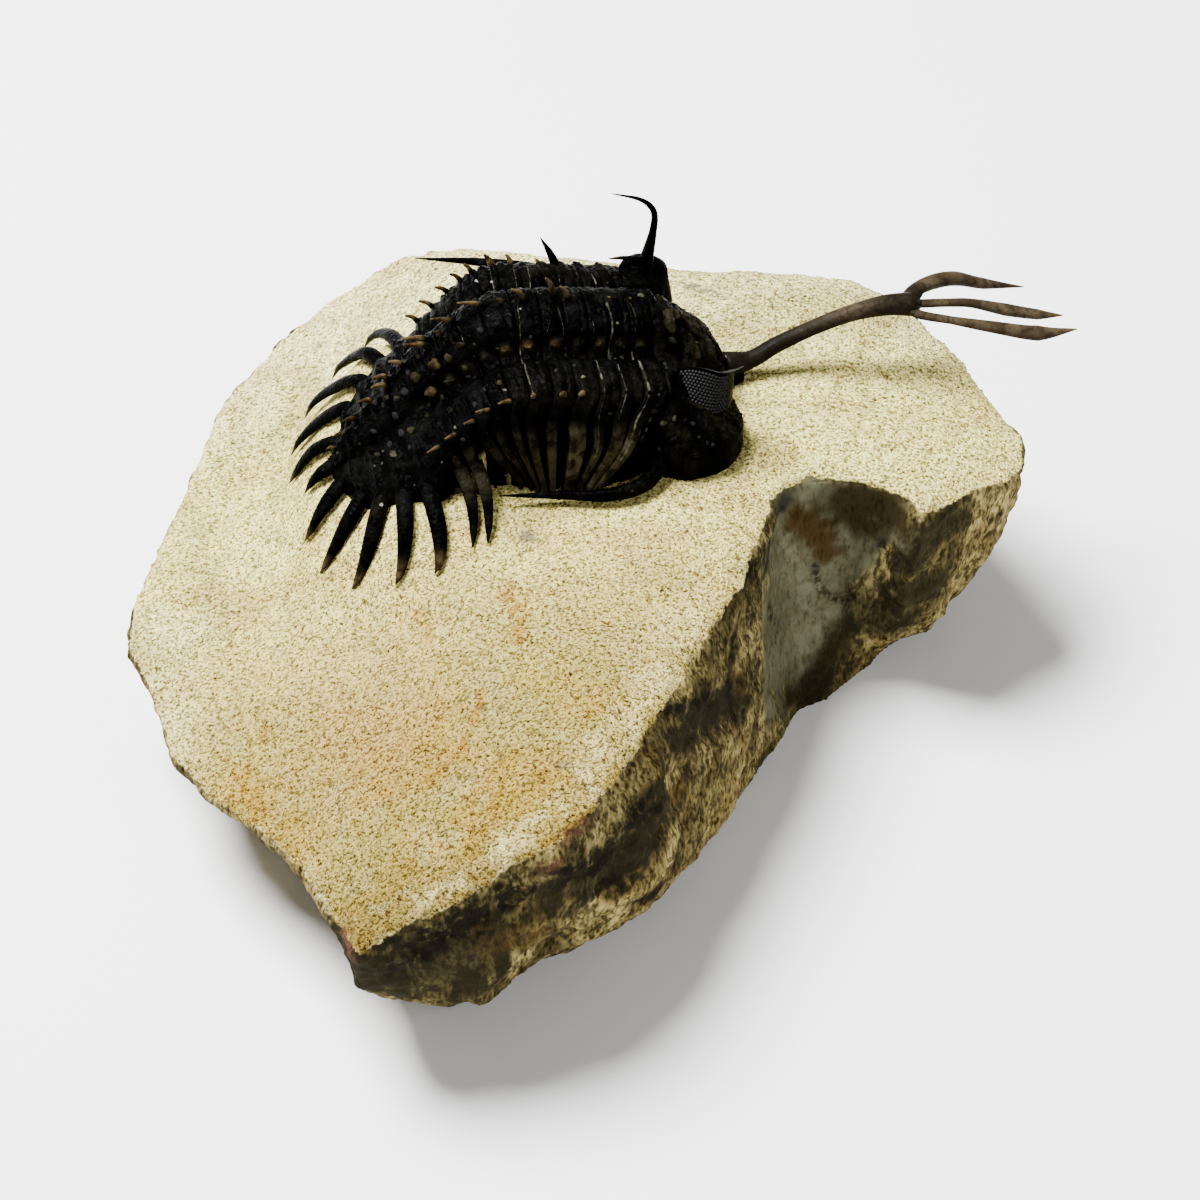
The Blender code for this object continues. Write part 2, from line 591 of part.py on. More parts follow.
def main():
    for obj in list(bpy.data.objects):
        bpy.data.objects.remove(obj, do_unlink=True)
    stone = make_material("limestone", LIMESTONE, 0.9)
    shell = make_material("black_shell", BLACK_SHELL, 0.35)
    fork = make_material("brown_shell", BROWN_SHELL, 0.4)
    matrix_stone(stone)
    cephalon(shell)
    for number in range(1, SEGMENTS + 1):
        thoracic_segment(number, shell)
    tail_shield(shell)
    tube("trident_shaft", SHAFT, SHAFT_HALF, fork)
    for name, path in TINES.items():
        halves = TINE_HALF[:len(path) - 1] + TINE_HALF[-1:]
        tube(f"trident_{name}_tine", path, halves, fork)


main()
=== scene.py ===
"""A spiny trilobite with a three-pronged head fork, on the block of limestone it was freed from.

Everything is modelled in millimetres and scaled to metres when a piece is finished. +Z is up, the
animal heads towards +X, and the origin is the middle of the stone's flat underside.
"""

import math

import bpy
from mathutils import Matrix, Vector, noise


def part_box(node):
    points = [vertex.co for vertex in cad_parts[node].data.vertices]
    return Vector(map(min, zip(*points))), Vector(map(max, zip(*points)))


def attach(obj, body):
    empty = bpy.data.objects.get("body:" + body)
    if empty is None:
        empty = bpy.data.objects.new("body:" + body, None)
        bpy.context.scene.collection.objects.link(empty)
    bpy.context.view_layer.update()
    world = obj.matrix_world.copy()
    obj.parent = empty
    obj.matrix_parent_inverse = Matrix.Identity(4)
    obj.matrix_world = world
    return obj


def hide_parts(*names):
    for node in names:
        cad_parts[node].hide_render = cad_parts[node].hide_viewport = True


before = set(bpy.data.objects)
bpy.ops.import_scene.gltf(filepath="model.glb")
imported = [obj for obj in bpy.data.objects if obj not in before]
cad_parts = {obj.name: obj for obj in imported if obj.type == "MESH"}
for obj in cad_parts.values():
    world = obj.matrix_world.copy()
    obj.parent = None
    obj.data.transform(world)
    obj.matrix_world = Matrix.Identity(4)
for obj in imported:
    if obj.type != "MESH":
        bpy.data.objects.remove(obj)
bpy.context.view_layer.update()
bpy.ops.object.select_all(action="DESELECT")

MM = 0.001
MERGE_DISTANCE = 0.002

# The stone's prepared top, level under the head and falling away beyond the tail.
TOP_LEVEL = 30.0
TAIL_FALL = 14.0
TAIL_FALL_START = -2.0
TAIL_FALL_LENGTH = 40.0
RIGHT_FALL = 3.0
FRONT_FALL = 2.0
BACK_FALL = 1.5
MOUND_WIDTH = 9.5
MOUND_REACH = 13.4
MOUND_LEVEL = 29.6
MOUND_TAIL_LEVEL = 24.2

# The crest of the animal, one point for each ring boundary, and the tips of the near ribs.
CREST = [
    (4.8, 31.4, 43.0), (2.2, 30.8, 43.5), (-0.3, 30.2, 44.1), (-2.8, 29.6, 44.6), (-5.3, 29.0, 45.0),
    (-7.8, 28.5, 45.3), (-10.3, 28.0, 45.3), (-12.7, 27.6, 44.6), (-14.8, 27.2, 43.4),
    (-16.7, 26.9, 41.8), (-18.6, 26.6, 40.0), (-20.6, 26.2, 38.2), (-22.2, 25.9, 35.9),
    (-23.8, 25.6, 33.6), (-25.7, 25.3, 31.3), (-27.4, 25.0, 29.1), (-28.5, 24.8, 27.0),
    (-28.8, 24.7, 25.4),
]
RIB_TIPS = [
    (1.8, 15.5, 31.0), (-0.2, 15.5, 31.0), (-2.0, 15.5, 31.0), (-3.7, 15.5, 31.0), (-5.1, 15.6, 31.0),
    (-6.2, 15.6, 31.0), (-7.2, 15.7, 30.9), (-8.4, 16.0, 30.8), (-9.8, 16.2, 30.7),
    (-11.4, 16.3, 30.6), (-13.2, 16.2, 30.5), (-15.1, 15.9, 30.5),
]
RINGS = 11
FIRST_BLADED_RING = 10
BLADE_REACH = 7.6
# Where each ring begins and ends along the crest, and the last ring's end.
RING_ENDS = (0.0, 0.85, 1.7, 2.55, 3.5, 4.45, 5.55, 6.9, 8.1, 9.2, 10.1, 11.0)
# Each near rib's middle, as x high up, halfway down and at its tip, and the share of the ring that its
# raised panel takes high and low. The far ribs mirror them.
RIB_RUN = [(4.4, 3.1, 0.0, 0.6, 0.62), (2.5, 1.7, -0.8, 0.65, 0.75), (0.4, 0.2, -1.8, 0.55, 0.55),
           (-2.0, -2.2, -3.1, 0.8, 0.88), (-4.3, -4.5, -4.6, 0.5, 0.55), (-6.5, -6.2, -5.5, 0.5, 0.5),
           (-8.2, -7.5, -6.1, 0.5, 0.4), (-10.2, -8.9, -6.9, 0.55, 0.45), (-11.5, -10.1, -7.9, 0.55, 0.5),
           (-13.5, -12.7, -12.3, 0.6, 0.6), (-15.1, -14.3, -13.8, 0.6, 0.6)]
# How brown each rib's panel is.
RIB_TONE = (0.75, 0.7, 0.5, 1.0, 0.6, 0.55, 0.4, 0.3, 0.25, 0.45, 0.45)
# Knobs beside the axis: place across each ring and how tan they are.
KNOBS = [(0.5, 0.1), (0.4, 0.2), (0.35, 0.7), (0.4, 0.3), (0.4, 0.75), (0.58, 0.95), (0.57, 0.6),
         (0.55, 0.3), (0.55, 0.25), (0.5, 0.3), (0.5, 0.3)]
# Crest spines: place along the crest, reach backwards and upwards, thickness at the root.
CREST_SPINES = [(0.6, 0.3, 0.2, 0.2), (1.45, 0.3, 0.25, 0.2), (3.2, 0.8, 1.7, 0.34), (3.75, 0.9, 2.9, 0.38),
                (4.95, 1.5, 1.6, 0.36), (5.9, 0.6, 0.5, 0.3), (6.5, 3.2, 0.9, 0.3), (8.0, 2.7, 0.8, 0.3),
                (8.9, 0.7, 0.5, 0.28), (9.45, 2.9, 0.5, 0.42), (10.9, 1.6, 0.7, 0.34)]
# Hinge spines of the near and the far row: place along the crest, reach backwards, outwards, upwards,
# thickness at the root, and where along them the tan begins.
NEAR_HINGES = [(0.65, 0.3, 0.1, 0.1, 0.3, 2.0), (1.45, 0.3, 0.1, 0.1, 0.3, 2.0),
               (2.25, 0.35, 0.15, 0.1, 0.34, 2.0), (3.2, 0.7, 0.3, 0.1, 0.4, 0.0),
               (4.05, 0.4, 0.35, 0.1, 0.42, 0.0), (5.3, 0.5, 0.3, 0.1, 0.34, 0.0),
               (6.75, 1.6, 0.3, 0.1, 0.25, 0.1), (8.0, 2.0, 0.3, 0.2, 0.24, 0.2),
               (9.1, 1.5, 0.3, -0.1, 0.28, 0.2), (10.0, 1.7, 0.3, -0.4, 0.27, 0.2),
               (10.9, 1.9, 0.2, -0.7, 0.26, 0.2)]
FAR_HINGES = [(0.6, 0.3, 0.2, 0.2, 0.3, 2.0), (1.5, 0.4, 0.2, 0.2, 0.3, 2.0), (2.5, 1.6, 0.3, 3.6, 0.5, 2.0),
              (3.3, 0.4, 0.2, 0.4, 0.3, 0.5), (4.6, 0.5, 0.4, 1.1, 0.34, 0.2), (5.6, 0.8, 0.5, 1.2, 0.4, 0.1),
              (7.2, 0.9, 0.5, 0.8, 0.32, 0.4), (8.1, 1.2, 0.5, 0.6, 0.32, 0.3),
              (9.0, 1.5, 0.5, 0.4, 0.32, 0.3), (9.9, 1.6, 0.5, 0.5, 0.32, 0.3),
              (10.8, 1.4, 0.5, 0.4, 0.32, 0.3)]
# Nodules seen on the shell: piece, place, radius and tone.
NODULES = [
    ("ring_10", (-17.1, 24.2, 40.1), 0.6, "tan"), ("ring_11", (-19.1, 24.1, 38.5), 0.55, "olive"),
    ("ring_11", (-17.5, 23.0, 37.4), 0.55, "tan"), ("ring_10", (-15.7, 23.3, 38.6), 0.5, "olive"),
    ("ring_09", (-15.6, 24.1, 41.1), 0.45, "olive"), ("ring_11", (-16.4, 22.9, 36.9), 0.35, "olive"),
    ("ring_10", (-15.4, 19.7, 37.9), 0.4, "olive"), ("tail_shield", (-21.3, 22.9, 34.3), 0.45, "grey"),
    ("tail_shield", (-20.3, 23.9, 36.7), 0.45, "grey"), ("tail_shield", (-19.5, 20.1, 34.8), 0.4, "olive"),
    ("tail_shield", (-20.7, 20.9, 33.4), 0.4, "grey"), ("tail_shield", (-21.9, 20.4, 32.7), 0.35, "grey"),
    ("tail_shield", (-23.6, 22.9, 32.0), 0.3, "grey"), ("tail_shield", (-21.4, 18.9, 32.5), 0.35, "pale"),
    ("tail_shield", (-23.4, 20.7, 30.9), 0.3, "pale"), ("tail_shield", (-19.7, 18.8, 33.6), 0.3, "grey"),
    ("ring_08", (-12.9, 24.2, 42.9), 0.18, "pale"), ("ring_08", (-13.0, 24.1, 41.4), 0.18, "pale"),
    ("ring_08", (-9.7, 18.5, 41.6), 0.18, "pale"), ("ring_08", (-10.2, 19.6, 41.8), 0.28, "tan"),
    ("ring_09", (-12.8, 18.5, 39.8), 0.3, "grey"), ("ring_09", (-11.7, 19.6, 40.7), 0.3, "grey"),
    ("ring_11", (-14.8, 17.8, 37.1), 0.2, "pale"), ("ring_09", (-14.0, 23.4, 40.4), 0.3, "olive"),
    ("ring_09", (-13.6, 23.2, 39.6), 0.25, "grey"), ("ring_10", (-14.0, 16.6, 36.6), 0.25, "grey"),
    ("tail_shield", (-18.2, 21.5, 35.6), 0.3, "olive"), ("tail_shield", (-17.7, 22.9, 35.8), 0.3, "olive"),
    ("ring_09", (-14.4, 24.6, 42.5), 0.35, "olive"), ("ring_09", (-15.9, 26.2, 42.4), 0.3, "olive"),
    ("ring_08", (-12.3, 25.2, 44.0), 0.3, "grey"), ("ring_11", (-18.9, 26.0, 39.7), 0.3, "olive"),
    ("ring_11", (-19.9, 25.0, 38.5), 0.3, "grey"), ("tail_shield", (-21.0, 23.6, 36.1), 0.3, "olive"),
    ("tail_shield", (-22.2, 24.7, 35.3), 0.3, "olive"), ("tail_shield", (-22.7, 24.7, 34.3), 0.3, "grey"),
    ("tail_shield", (-23.7, 24.9, 34.1), 0.3, "grey"), ("tail_shield", (-25.3, 26.6, 31.7), 0.3, "olive"),
    ("head_shield", (7.7, 19.8, 36.7), 0.26, "pale"), ("head_shield", (8.8, 20.1, 36.1), 0.23, "pale"),
    ("head_shield", (9.6, 19.9, 35.8), 0.26, "grey"), ("head_shield", (6.5, 19.2, 36.4), 0.32, "pale"),
    ("ring_01", (5.4, 19.7, 37.9), 0.34, "grey"), ("ring_01", (5.5, 20.0, 35.8), 0.34, "pale"),
    ("ring_01", (5.8, 20.2, 34.4), 0.25, "pale"), ("ring_01", (5.6, 20.1, 33.7), 0.2, "pale"),
    ("ring_01", (5.5, 20.1, 32.2), 0.2, "pale"), ("ring_01", (5.0, 19.5, 33.7), 0.2, "grey"),
    ("ring_01", (4.7, 19.1, 32.2), 0.2, "grey"), ("head_shield", (6.1, 18.4, 33.7), 0.28, "olive"),
    ("head_shield", (11.1, 19.1, 33.9), 0.26, "grey"), ("head_shield", (11.7, 19.2, 33.6), 0.2, "grey"),
    ("head_shield", (10.3, 19.3, 34.5), 0.2, "grey"), ("head_shield", (7.5, 28.5, 39.7), 0.4, "grey"),
    ("head_shield", (10.1, 29.9, 38.3), 0.14, "pale"), ("ring_02", (1.8, 19.2, 39.3), 0.17, "pale"),
    ("ring_03", (1.0, 18.9, 38.2), 0.2, "pale"), ("ring_02", (1.8, 27.5, 42.9), 0.16, "pale"),
    ("ring_02", (1.0, 25.5, 40.1), 0.25, "grey"), ("ring_02", (2.3, 25.8, 39.9), 0.25, "grey"),
    ("head_shield", (6.4, 24.4, 39.3), 0.25, "grey"), ("head_shield", (6.9, 23.9, 40.0), 0.2, "grey"),
    ("ring_01", (4.2, 32.0, 43.1), 0.32, "pale"), ("head_shield", (5.9, 38.5, 38.2), 0.25, "grey"),
    ("ring_04", (-2.6, 22.1, 41.9), 0.2, "grey"), ("ring_04", (-1.7, 20.4, 41.6), 0.2, "pale"),
    ("ring_05", (-4.5, 21.0, 42.2), 0.18, "pale"), ("ring_07", (-10.5, 24.1, 42.5), 0.2, "pale"),
]
# Brown and faint fields and dark furrows of the head: kind, half width, and places they run through.
HEAD_MARKS = [
    ("brown", 1.1, [(9.8, 31.3, 39.2), (9.9, 29.7, 38.3), (9.7, 28.3, 37.6)]),
    ("brown", 0.8, [(11.7, 31.0, 37.4), (12.2, 29.8, 36.3)]),
    ("brown", 0.6, [(6.9, 29.9, 41.7), (7.5, 29.5, 40.9)]),
    ("faint", 0.8, [(7.0, 22.2, 39.1), (7.1, 21.4, 37.8), (7.0, 19.8, 37.2)]),
    ("faint", 0.8, [(7.4, 19.1, 35.7), (8.5, 18.8, 35.3)]),
    ("faint", 1.0, [(12.9, 22.6, 35.4), (13.4, 21.3, 33.7), (13.9, 20.3, 32.5)]),
    ("brown", 0.6, [(7.1, 30.5, 42.0), (8.6, 32.0, 40.6), (10.6, 33.1, 38.5), (11.9, 33.0, 36.8)]),
    ("furrow", 0.4, [(8.5, 30.9, 40.6), (8.6, 29.1, 39.3), (8.6, 28.0, 37.6)]),
    ("furrow", 0.35, [(9.0, 30.7, 40.2), (10.5, 30.2, 38.5), (11.2, 28.8, 37.2)]),
    ("furrow", 0.35, [(10.6, 32.6, 38.8), (11.9, 31.9, 37.0), (12.9, 30.4, 35.6)]),
    ("furrow", 0.4, [(5.7, 29.1, 42.3), (5.9, 26.3, 39.7)]),
]
HEAD_TONES = {"brown": 0.38, "faint": 0.16}
# Pale calcite seams: ring, side, width, then places across the ring and down its flank.
SEAMS = [(6, -1, 0.13, [(0.8, 0.2), (0.85, 1.6), (0.92, 2.9), (0.95, 4.3), (0.85, 5.1)]),
         (5, -1, 0.11, [(0.26, 0.5), (0.1, 2.0), (0.12, 2.6)]),
         (2, -1, 0.15, [(0.95, 0.3), (0.85, 1.5), (0.85, 2.5), (0.93, 3.4)]),
         (1, -1, 0.12, [(0.82, 0.3), (0.72, 1.4), (0.88, 2.6)]),
         (1, -1, 0.17, [(0.88, 3.1), (0.88, 4.0), (0.85, 4.8), (0.8, 5.8), (0.76, 6.8), (0.72, 7.6)]),
         (3, -1, 0.11, [(0.88, 3.7), (0.84, 4.9), (0.8, 6.0), (0.8, 7.2)]),
         (2, -1, 0.1, [(0.88, 4.0), (0.8, 4.9), (0.78, 6.0)]),
         (5, -1, 0.07, [(0.79, 2.0), (0.63, 1.3), (0.42, 0.5)]),
         (3, -1, 0.07, [(0.82, 1.5), (0.7, 2.5)]), (8, -1, 0.09, [(0.93, 0.2), (0.93, 1.7)]),
         (7, 1, 0.12, [(0.45, 0.6), (0.38, 3.0), (0.33, 5.2)]),
         (5, 1, 0.1, [(0.9, 0.5), (0.75, 3.0), (0.5, 5.2)]),
         (6, 1, 0.09, [(0.5, 0.8), (0.3, 3.5), (0.2, 5.1)]),
         (2, 1, 0.1, [(0.3, 0.8), (0.3, 2.6), (0.4, 4.3)]),
         (3, 1, 0.08, [(0.5, 0.8), (0.35, 2.7), (0.12, 5.0)]), (4, 1, 0.07, [(0.75, 0.9), (0.2, 4.1)]),
         (9, 1, 0.08, [(0.9, 1.0), (0.9, 4.7)]), (11, 1, 0.08, [(0.5, 1.5), (0.9, 5.0)])]

# Heading of the body, in degrees, at places along its crest, and the half width of its sections.
YAW_STATIONS = ((0.0, 15.5), (1.5, 14.0), (4.0, 12.0), (8.0, 10.5), (17.0, 10.0))
AXIS_HALF = 4.2
AXIS_RISE = 3.4
RIB_CROWN = (7.4, 2.9)
RIB_HINGE = (10.8, 3.8)

# Tail claws: root sideways, backwards, height; reach sideways, backwards, down.
TAIL_CLAWS = [
    ((11.9, -0.9, 31.3), (7.7, 2.0, 6.0)),
    ((10.7, 1.6, 29.9), (7.5, 3.5, 7.2)),
    ((9.4, 3.8, 28.3), (5.5, 5.3, 7.8)),
    ((7.2, 5.8, 26.7), (3.0, 5.8, 7.2)),
    ((3.3, 7.5, 25.4), (1.9, 5.0, 6.4)),
    ((0.0, 8.2, 24.9), (0.0, 3.2, 4.4)),
]
TAIL_COLUMNS = 60
CLAW_WIDTH = 1.6
CLAW_YAW = 20.0
CLAW_BOW = 0.8
TAIL_CREST_AT = (11.5, 12.6, 13.7, 14.9, 16.1, 17.0)
TAIL_ROW = [(0.0, 1.0), (0.13, 0.96), (0.24, 0.85), (0.32, 0.6), (0.5, 0.58), (0.68, 0.5),
            (0.82, 0.36), (0.93, 0.17), (1.0, 0.0)]

# Head, in its own plan: forwards and sideways from the end of the crest.
HEAD_YAW = 16.0
HEAD_EDGE = [(11.1, 0.0), (10.7, 1.1), (8.6, 2.0), (7.8, 3.6), (8.3, 6.2), (8.1, 9.2), (6.8, 12.0),
             (4.2, 14.0), (0.6, 14.5)]
HEAD_LENGTH = 8.6
HEAD_HALF = 14.8
HEAD_ROLL = 0.06
GENAL_CORNER = (-2.6, 13.0)
# The eyes as closed loops of eight places (forwards, sideways, height): foot of the lens wall, its
# top, the brim's edge, its upper side, and the middle.
EYE_LOOPS = {
    "near": [
        [(0.9, -7.4, 35.2), (1.8, -9.2, 34.9), (3.2, -10.5, 34.5), (4.6, -10.8, 34.5), (6.1, -10.0, 34.9),
         (7.0, -8.2, 35.4), (5.4, -6.4, 35.5), (2.6, -6.1, 35.7)],
        [(1.4, -6.5, 38.0), (2.4, -8.0, 39.5), (3.7, -9.2, 39.9), (5.1, -9.8, 39.5), (6.3, -9.3, 38.9),
         (7.2, -8.1, 38.0), (6.0, -6.8, 36.6), (3.4, -6.4, 36.8)],
        [(1.3, -6.5, 38.1), (2.3, -7.9, 39.65), (3.65, -9.2, 40.1), (5.2, -10.0, 39.8), (6.8, -9.6, 39.3),
         (8.3, -8.0, 38.5), (6.4, -6.6, 36.8), (3.4, -6.2, 37.0)],
        [(1.8, -6.7, 38.0), (2.6, -7.6, 39.3), (3.8, -8.7, 39.8), (5.1, -9.4, 39.6), (6.5, -9.1, 39.1),
         (7.7, -8.1, 38.4), (6.1, -6.9, 37.0), (3.7, -6.5, 37.2)],
        [(4.6, -7.6, 37.9), (4.6, -7.7, 37.9), (4.7, -7.8, 37.9), (4.8, -7.8, 37.9), (4.9, -7.7, 37.9),
         (4.9, -7.6, 37.9), (4.8, -7.5, 37.9), (4.7, -7.5, 37.9)],
    ],
    "far": [
        [(-2.6, 8.6, 36.8), (-1.4, 10.0, 36.2), (1.5, 10.6, 35.9), (3.6, 10.2, 35.8), (5.0, 8.8, 35.9),
         (5.0, 6.9, 36.0), (1.5, 5.2, 36.8), (-1.9, 6.0, 37.0)],
        [(-0.4, 8.5, 39.9), (0.4, 9.4, 40.3), (1.8, 9.7, 40.5), (3.3, 9.5, 40.4), (4.6, 8.6, 39.9),
         (4.6, 7.2, 39.2), (2.6, 6.3, 39.1), (0.3, 6.9, 39.2)],
        [(-0.5, 8.5, 40.3), (0.3, 9.6, 40.8), (1.8, 10.0, 41.0), (3.4, 9.7, 40.8), (4.7, 8.6, 40.3),
         (4.5, 7.2, 39.6), (2.6, 6.4, 39.5), (0.4, 7.0, 39.6)],
        [(0.8, 8.5, 41.0), (1.2, 9.1, 41.3), (2.0, 9.4, 41.4), (3.1, 9.2, 41.3), (3.9, 8.6, 41.0),
         (3.9, 7.7, 40.6), (2.6, 7.2, 40.5), (1.3, 7.5, 40.6)],
        [(2.4, 8.4, 41.6), (2.5, 8.5, 41.6), (2.6, 8.5, 41.6), (2.7, 8.5, 41.6), (2.8, 8.4, 41.6),
         (2.7, 8.3, 41.6), (2.6, 8.3, 41.6), (2.5, 8.3, 41.6)],
    ],
}
# First and last lens file, as places round the loops, and how many files between.
EYE_FILES = {"near": (0.0, 3.7, 17), "far": (-0.8, 3.6, 16)}
LENS_RADIUS = 0.165
LENS_ROWS = 12

# The fork: its shaft, its tines and the tines' half widths.
SHAFT = [(16.3, 34.8, 31.9), (18.9, 35.6, 33.2), (22.7, 36.5, 34.8), (26.8, 37.4, 36.1),
         (30.6, 38.3, 36.5), (33.4, 39.0, 36.1)]
TINES = {
    "left": [(34.0, 41.0, 36.3), (36.2, 42.8, 36.1), (38.8, 44.1, 35.5), (42.0, 45.0, 34.1),
             (46.7, 46.0, 32.8)],
    "middle": [(34.4, 39.2, 36.0), (37.6, 39.6, 35.8), (40.2, 40.0, 35.4), (44.0, 40.5, 34.1),
               (47.6, 40.8, 33.2), (50.5, 41.1, 32.8)],
    "right": [(34.3, 37.5, 35.9), (37.8, 37.0, 35.5), (42.0, 36.9, 34.7), (47.2, 37.0, 33.7),
              (51.5, 37.2, 34.1)],
}
TINE_HALF = {"left": (0.75, 0.85, 1.0, 1.0, 0.78, 0.06), "middle": (0.55, 0.58, 0.56, 0.62, 0.86, 0.72, 0.06),
             "right": (0.6, 0.6, 0.54, 0.78, 1.02, 0.06)}


def smooth_step(u):
    u = min(max(u, 0.0), 1.0)
    return u * u * (3.0 - 2.0 * u)


def mix(a, b, t):
    return a + (b - a) * t


def hump(x, centre, half):
    """1 at the centre, falling smoothly to 0 at half on either side."""
    return smooth_step(1.0 - abs(x - centre) / half)


def curve_at(points, t):
    """A smooth curve through the points, at t points from the first."""
    last = len(points) - 1
    i = min(max(int(math.floor(t)), 0), last - 1)
    f = t - i
    p1 = Vector(points[i])
    p2 = Vector(points[i + 1])
    p0 = Vector(points[i - 1]) if i > 0 else p1 * 2 - p2
    p3 = Vector(points[i + 2]) if i + 2 <= last else p2 * 2 - p1
    return 0.5 * (p1 * 2 + (p2 - p0) * f + (p0 * 2 - p1 * 5 + p2 * 4 - p3) * f * f
                  + (p1 * 3 - p0 - p2 * 3 + p3) * f * f * f)


def along(values, t):
    """A value between the listed ones, straight between neighbours."""
    i = min(max(int(math.floor(t)), 0), len(values) - 2)
    return mix(values[i], values[i + 1], min(max(t - i, 0.0), 1.0))


def yaw_at(t):
    stations = YAW_STATIONS
    if t <= stations[0][0]:
        return math.radians(stations[0][1])
    for (t0, a0), (t1, a1) in zip(stations, stations[1:]):
        if t <= t1:
            return math.radians(mix(a0, a1, (t - t0) / (t1 - t0)))
    return math.radians(stations[-1][1])


def heading(angle):
    """Unit vectors forwards and to the animal's left, both level."""
    return (Vector((math.cos(angle), math.sin(angle), 0.0)),
            Vector((-math.sin(angle), math.cos(angle), 0.0)))


def ground(x, y):
    """Height of the stone's prepared top."""
    z = TOP_LEVEL - TAIL_FALL * smooth_step((TAIL_FALL_START - x) / TAIL_FALL_LENGTH)
    z -= RIGHT_FALL * smooth_step((x - 22.0) / 26.0)
    z -= FRONT_FALL * smooth_step((-15.0 - y) / 35.0)
    z -= BACK_FALL * smooth_step((y - 40.0) / 25.0)
    head = Vector(CREST[0][:2])
    run = Vector(CREST[RINGS][:2]) - head
    place = (Vector((x, y)) - head).dot(run) / run.length_squared
    offset = Vector((x, y)) - head - run * min(max(place, 0.0), 1.0)
    behind = max(place - 1.0, 0.0) * run.length
    reach = math.hypot(offset.length, behind * 1.15)
    level = mix(MOUND_LEVEL, MOUND_TAIL_LEVEL, smooth_step(behind / 9.5))
    if place < 0.0:
        return z
    return max(z, mix(level, z, smooth_step((reach - MOUND_REACH) / MOUND_WIDTH)))


def half_section(t, side):
    """Points from the crest to the rib tip at place t, on side +1 (far, left) or -1 (near)."""
    crest = curve_at(CREST, t)
    forward, left = heading(yaw_at(t))
    run = curve_at(CREST, t - 0.2) - curve_at(CREST, t + 0.2)
    up = run.cross(left).normalized()
    tip = curve_at(RIB_TIPS, t)
    reach = tip - crest
    tip = crest + forward * reach.dot(forward) - left * reach.dot(left) * side + Vector((0, 0, reach.z))
    taper = mix(1.0, 0.86, smooth_step((t - 6.0) / 5.0))
    half = AXIS_HALF * taper
    rise = AXIS_RISE * taper

    def at(sideways, below):
        return crest + left * sideways * side - up * below

    hinge = at(RIB_HINGE[0] * mix(1.0, 0.93, smooth_step((t - 7.0) / 4.0)), RIB_HINGE[1])
    fall = tip - hinge
    out = Vector((fall.x, fall.y, 0.0))
    return [crest, at(half * 0.45, rise * 0.1), at(half * 0.82, rise * 0.42), at(half, rise),
            at(RIB_CROWN[0], RIB_CROWN[1]), hinge,
            hinge + out * 0.42 + Vector((0, 0, fall.z * 0.22)),
            hinge + out * 0.78 + Vector((0, 0, fall.z * 0.56)), tip]


sections = {}


def body_point(t, s, side):
    """A point of the body's surface: t rings from the head, s from 0 at the crest to 8 at the rib tip."""
    step = 0.05
    k = math.floor(t / step)
    for n in (k, k + 1):
        if (n, side) not in sections:
            sections[n, side] = half_section(n * step, side)
    return curve_at(sections[k, side], s).lerp(curve_at(sections[k + 1, side], s), t / step - k)


# Materials

def node(tree, kind, inputs=None, **settings):
    """Adds a shader node; inputs take a number, a colour or another node's output."""
    made = tree.nodes.new("ShaderNode" + kind)
    for name, value in settings.items():
        setattr(made, name, value)
    for name, value in (inputs or {}).items():
        socket = made.inputs[name]
        if isinstance(value, bpy.types.NodeSocket):
            tree.links.new(value, socket)
        else:
            socket.default_value = value
    return made


def ramp(tree, value, stops, interpolation="LINEAR"):
    """A colour ramp; each stop is a place and a grey or a colour."""
    made = node(tree, "ValToRGB", {"Fac": value})
    elements = made.color_ramp.elements
    made.color_ramp.interpolation = interpolation
    while len(elements) < len(stops):
        elements.new(0.5)
    for element, (place, colour) in zip(elements, stops):
        element.position = place
        element.color = (*colour, 1.0) if isinstance(colour, tuple) else (colour,) * 3 + (1.0,)
    return made.outputs["Color"]


def blend(tree, factor, a, b, how="MIX"):
    """Mixes two colours; each may be a colour or an output."""
    made = node(tree, "Mix", data_type="RGBA", blend_type=how, clamp_factor=True)
    for name, value in (("Factor", factor), ("A", a), ("B", b)):
        socket = [s for s in made.inputs if s.name == name and (s.type == "RGBA" or name == "Factor")][0]
        if isinstance(value, bpy.types.NodeSocket):
            tree.links.new(value, socket)
        else:
            socket.default_value = (*value, 1.0) if isinstance(value, tuple) else value
    return [s for s in made.outputs if s.type == "RGBA"][0]


def calc(tree, how, a, b=0.0, c=None):
    inputs = {0: a, 1: b}
    if c is not None:
        inputs[2] = c
    return node(tree, "Math", inputs, operation=how, use_clamp=False).outputs[0]


def painted(tree, name):
    """A mask kept on the piece's own points."""
    return node(tree, "Attribute", attribute_name=name).outputs["Fac"]


def new_group(name, inputs, outputs):
    tree = bpy.data.node_groups.new(name, "ShaderNodeTree")
    for label, kind, value in inputs:
        socket = tree.interface.new_socket(label, in_out="INPUT", socket_type="NodeSocket" + kind)
        if value is not None:
            socket.default_value = value
    for label, kind in outputs:
        tree.interface.new_socket(label, in_out="OUTPUT", socket_type="NodeSocket" + kind)
    return tree, tree.nodes.new("NodeGroupInput").outputs, tree.nodes.new("NodeGroupOutput").inputs


def use_group(tree, group, inputs):
    made = tree.nodes.new("ShaderNodeGroup")
    made.node_tree = group
    for name, value in inputs.items():
        if isinstance(value, bpy.types.NodeSocket):
            tree.links.new(value, made.inputs[name])
        else:
            made.inputs[name].default_value = value
    return made.outputs


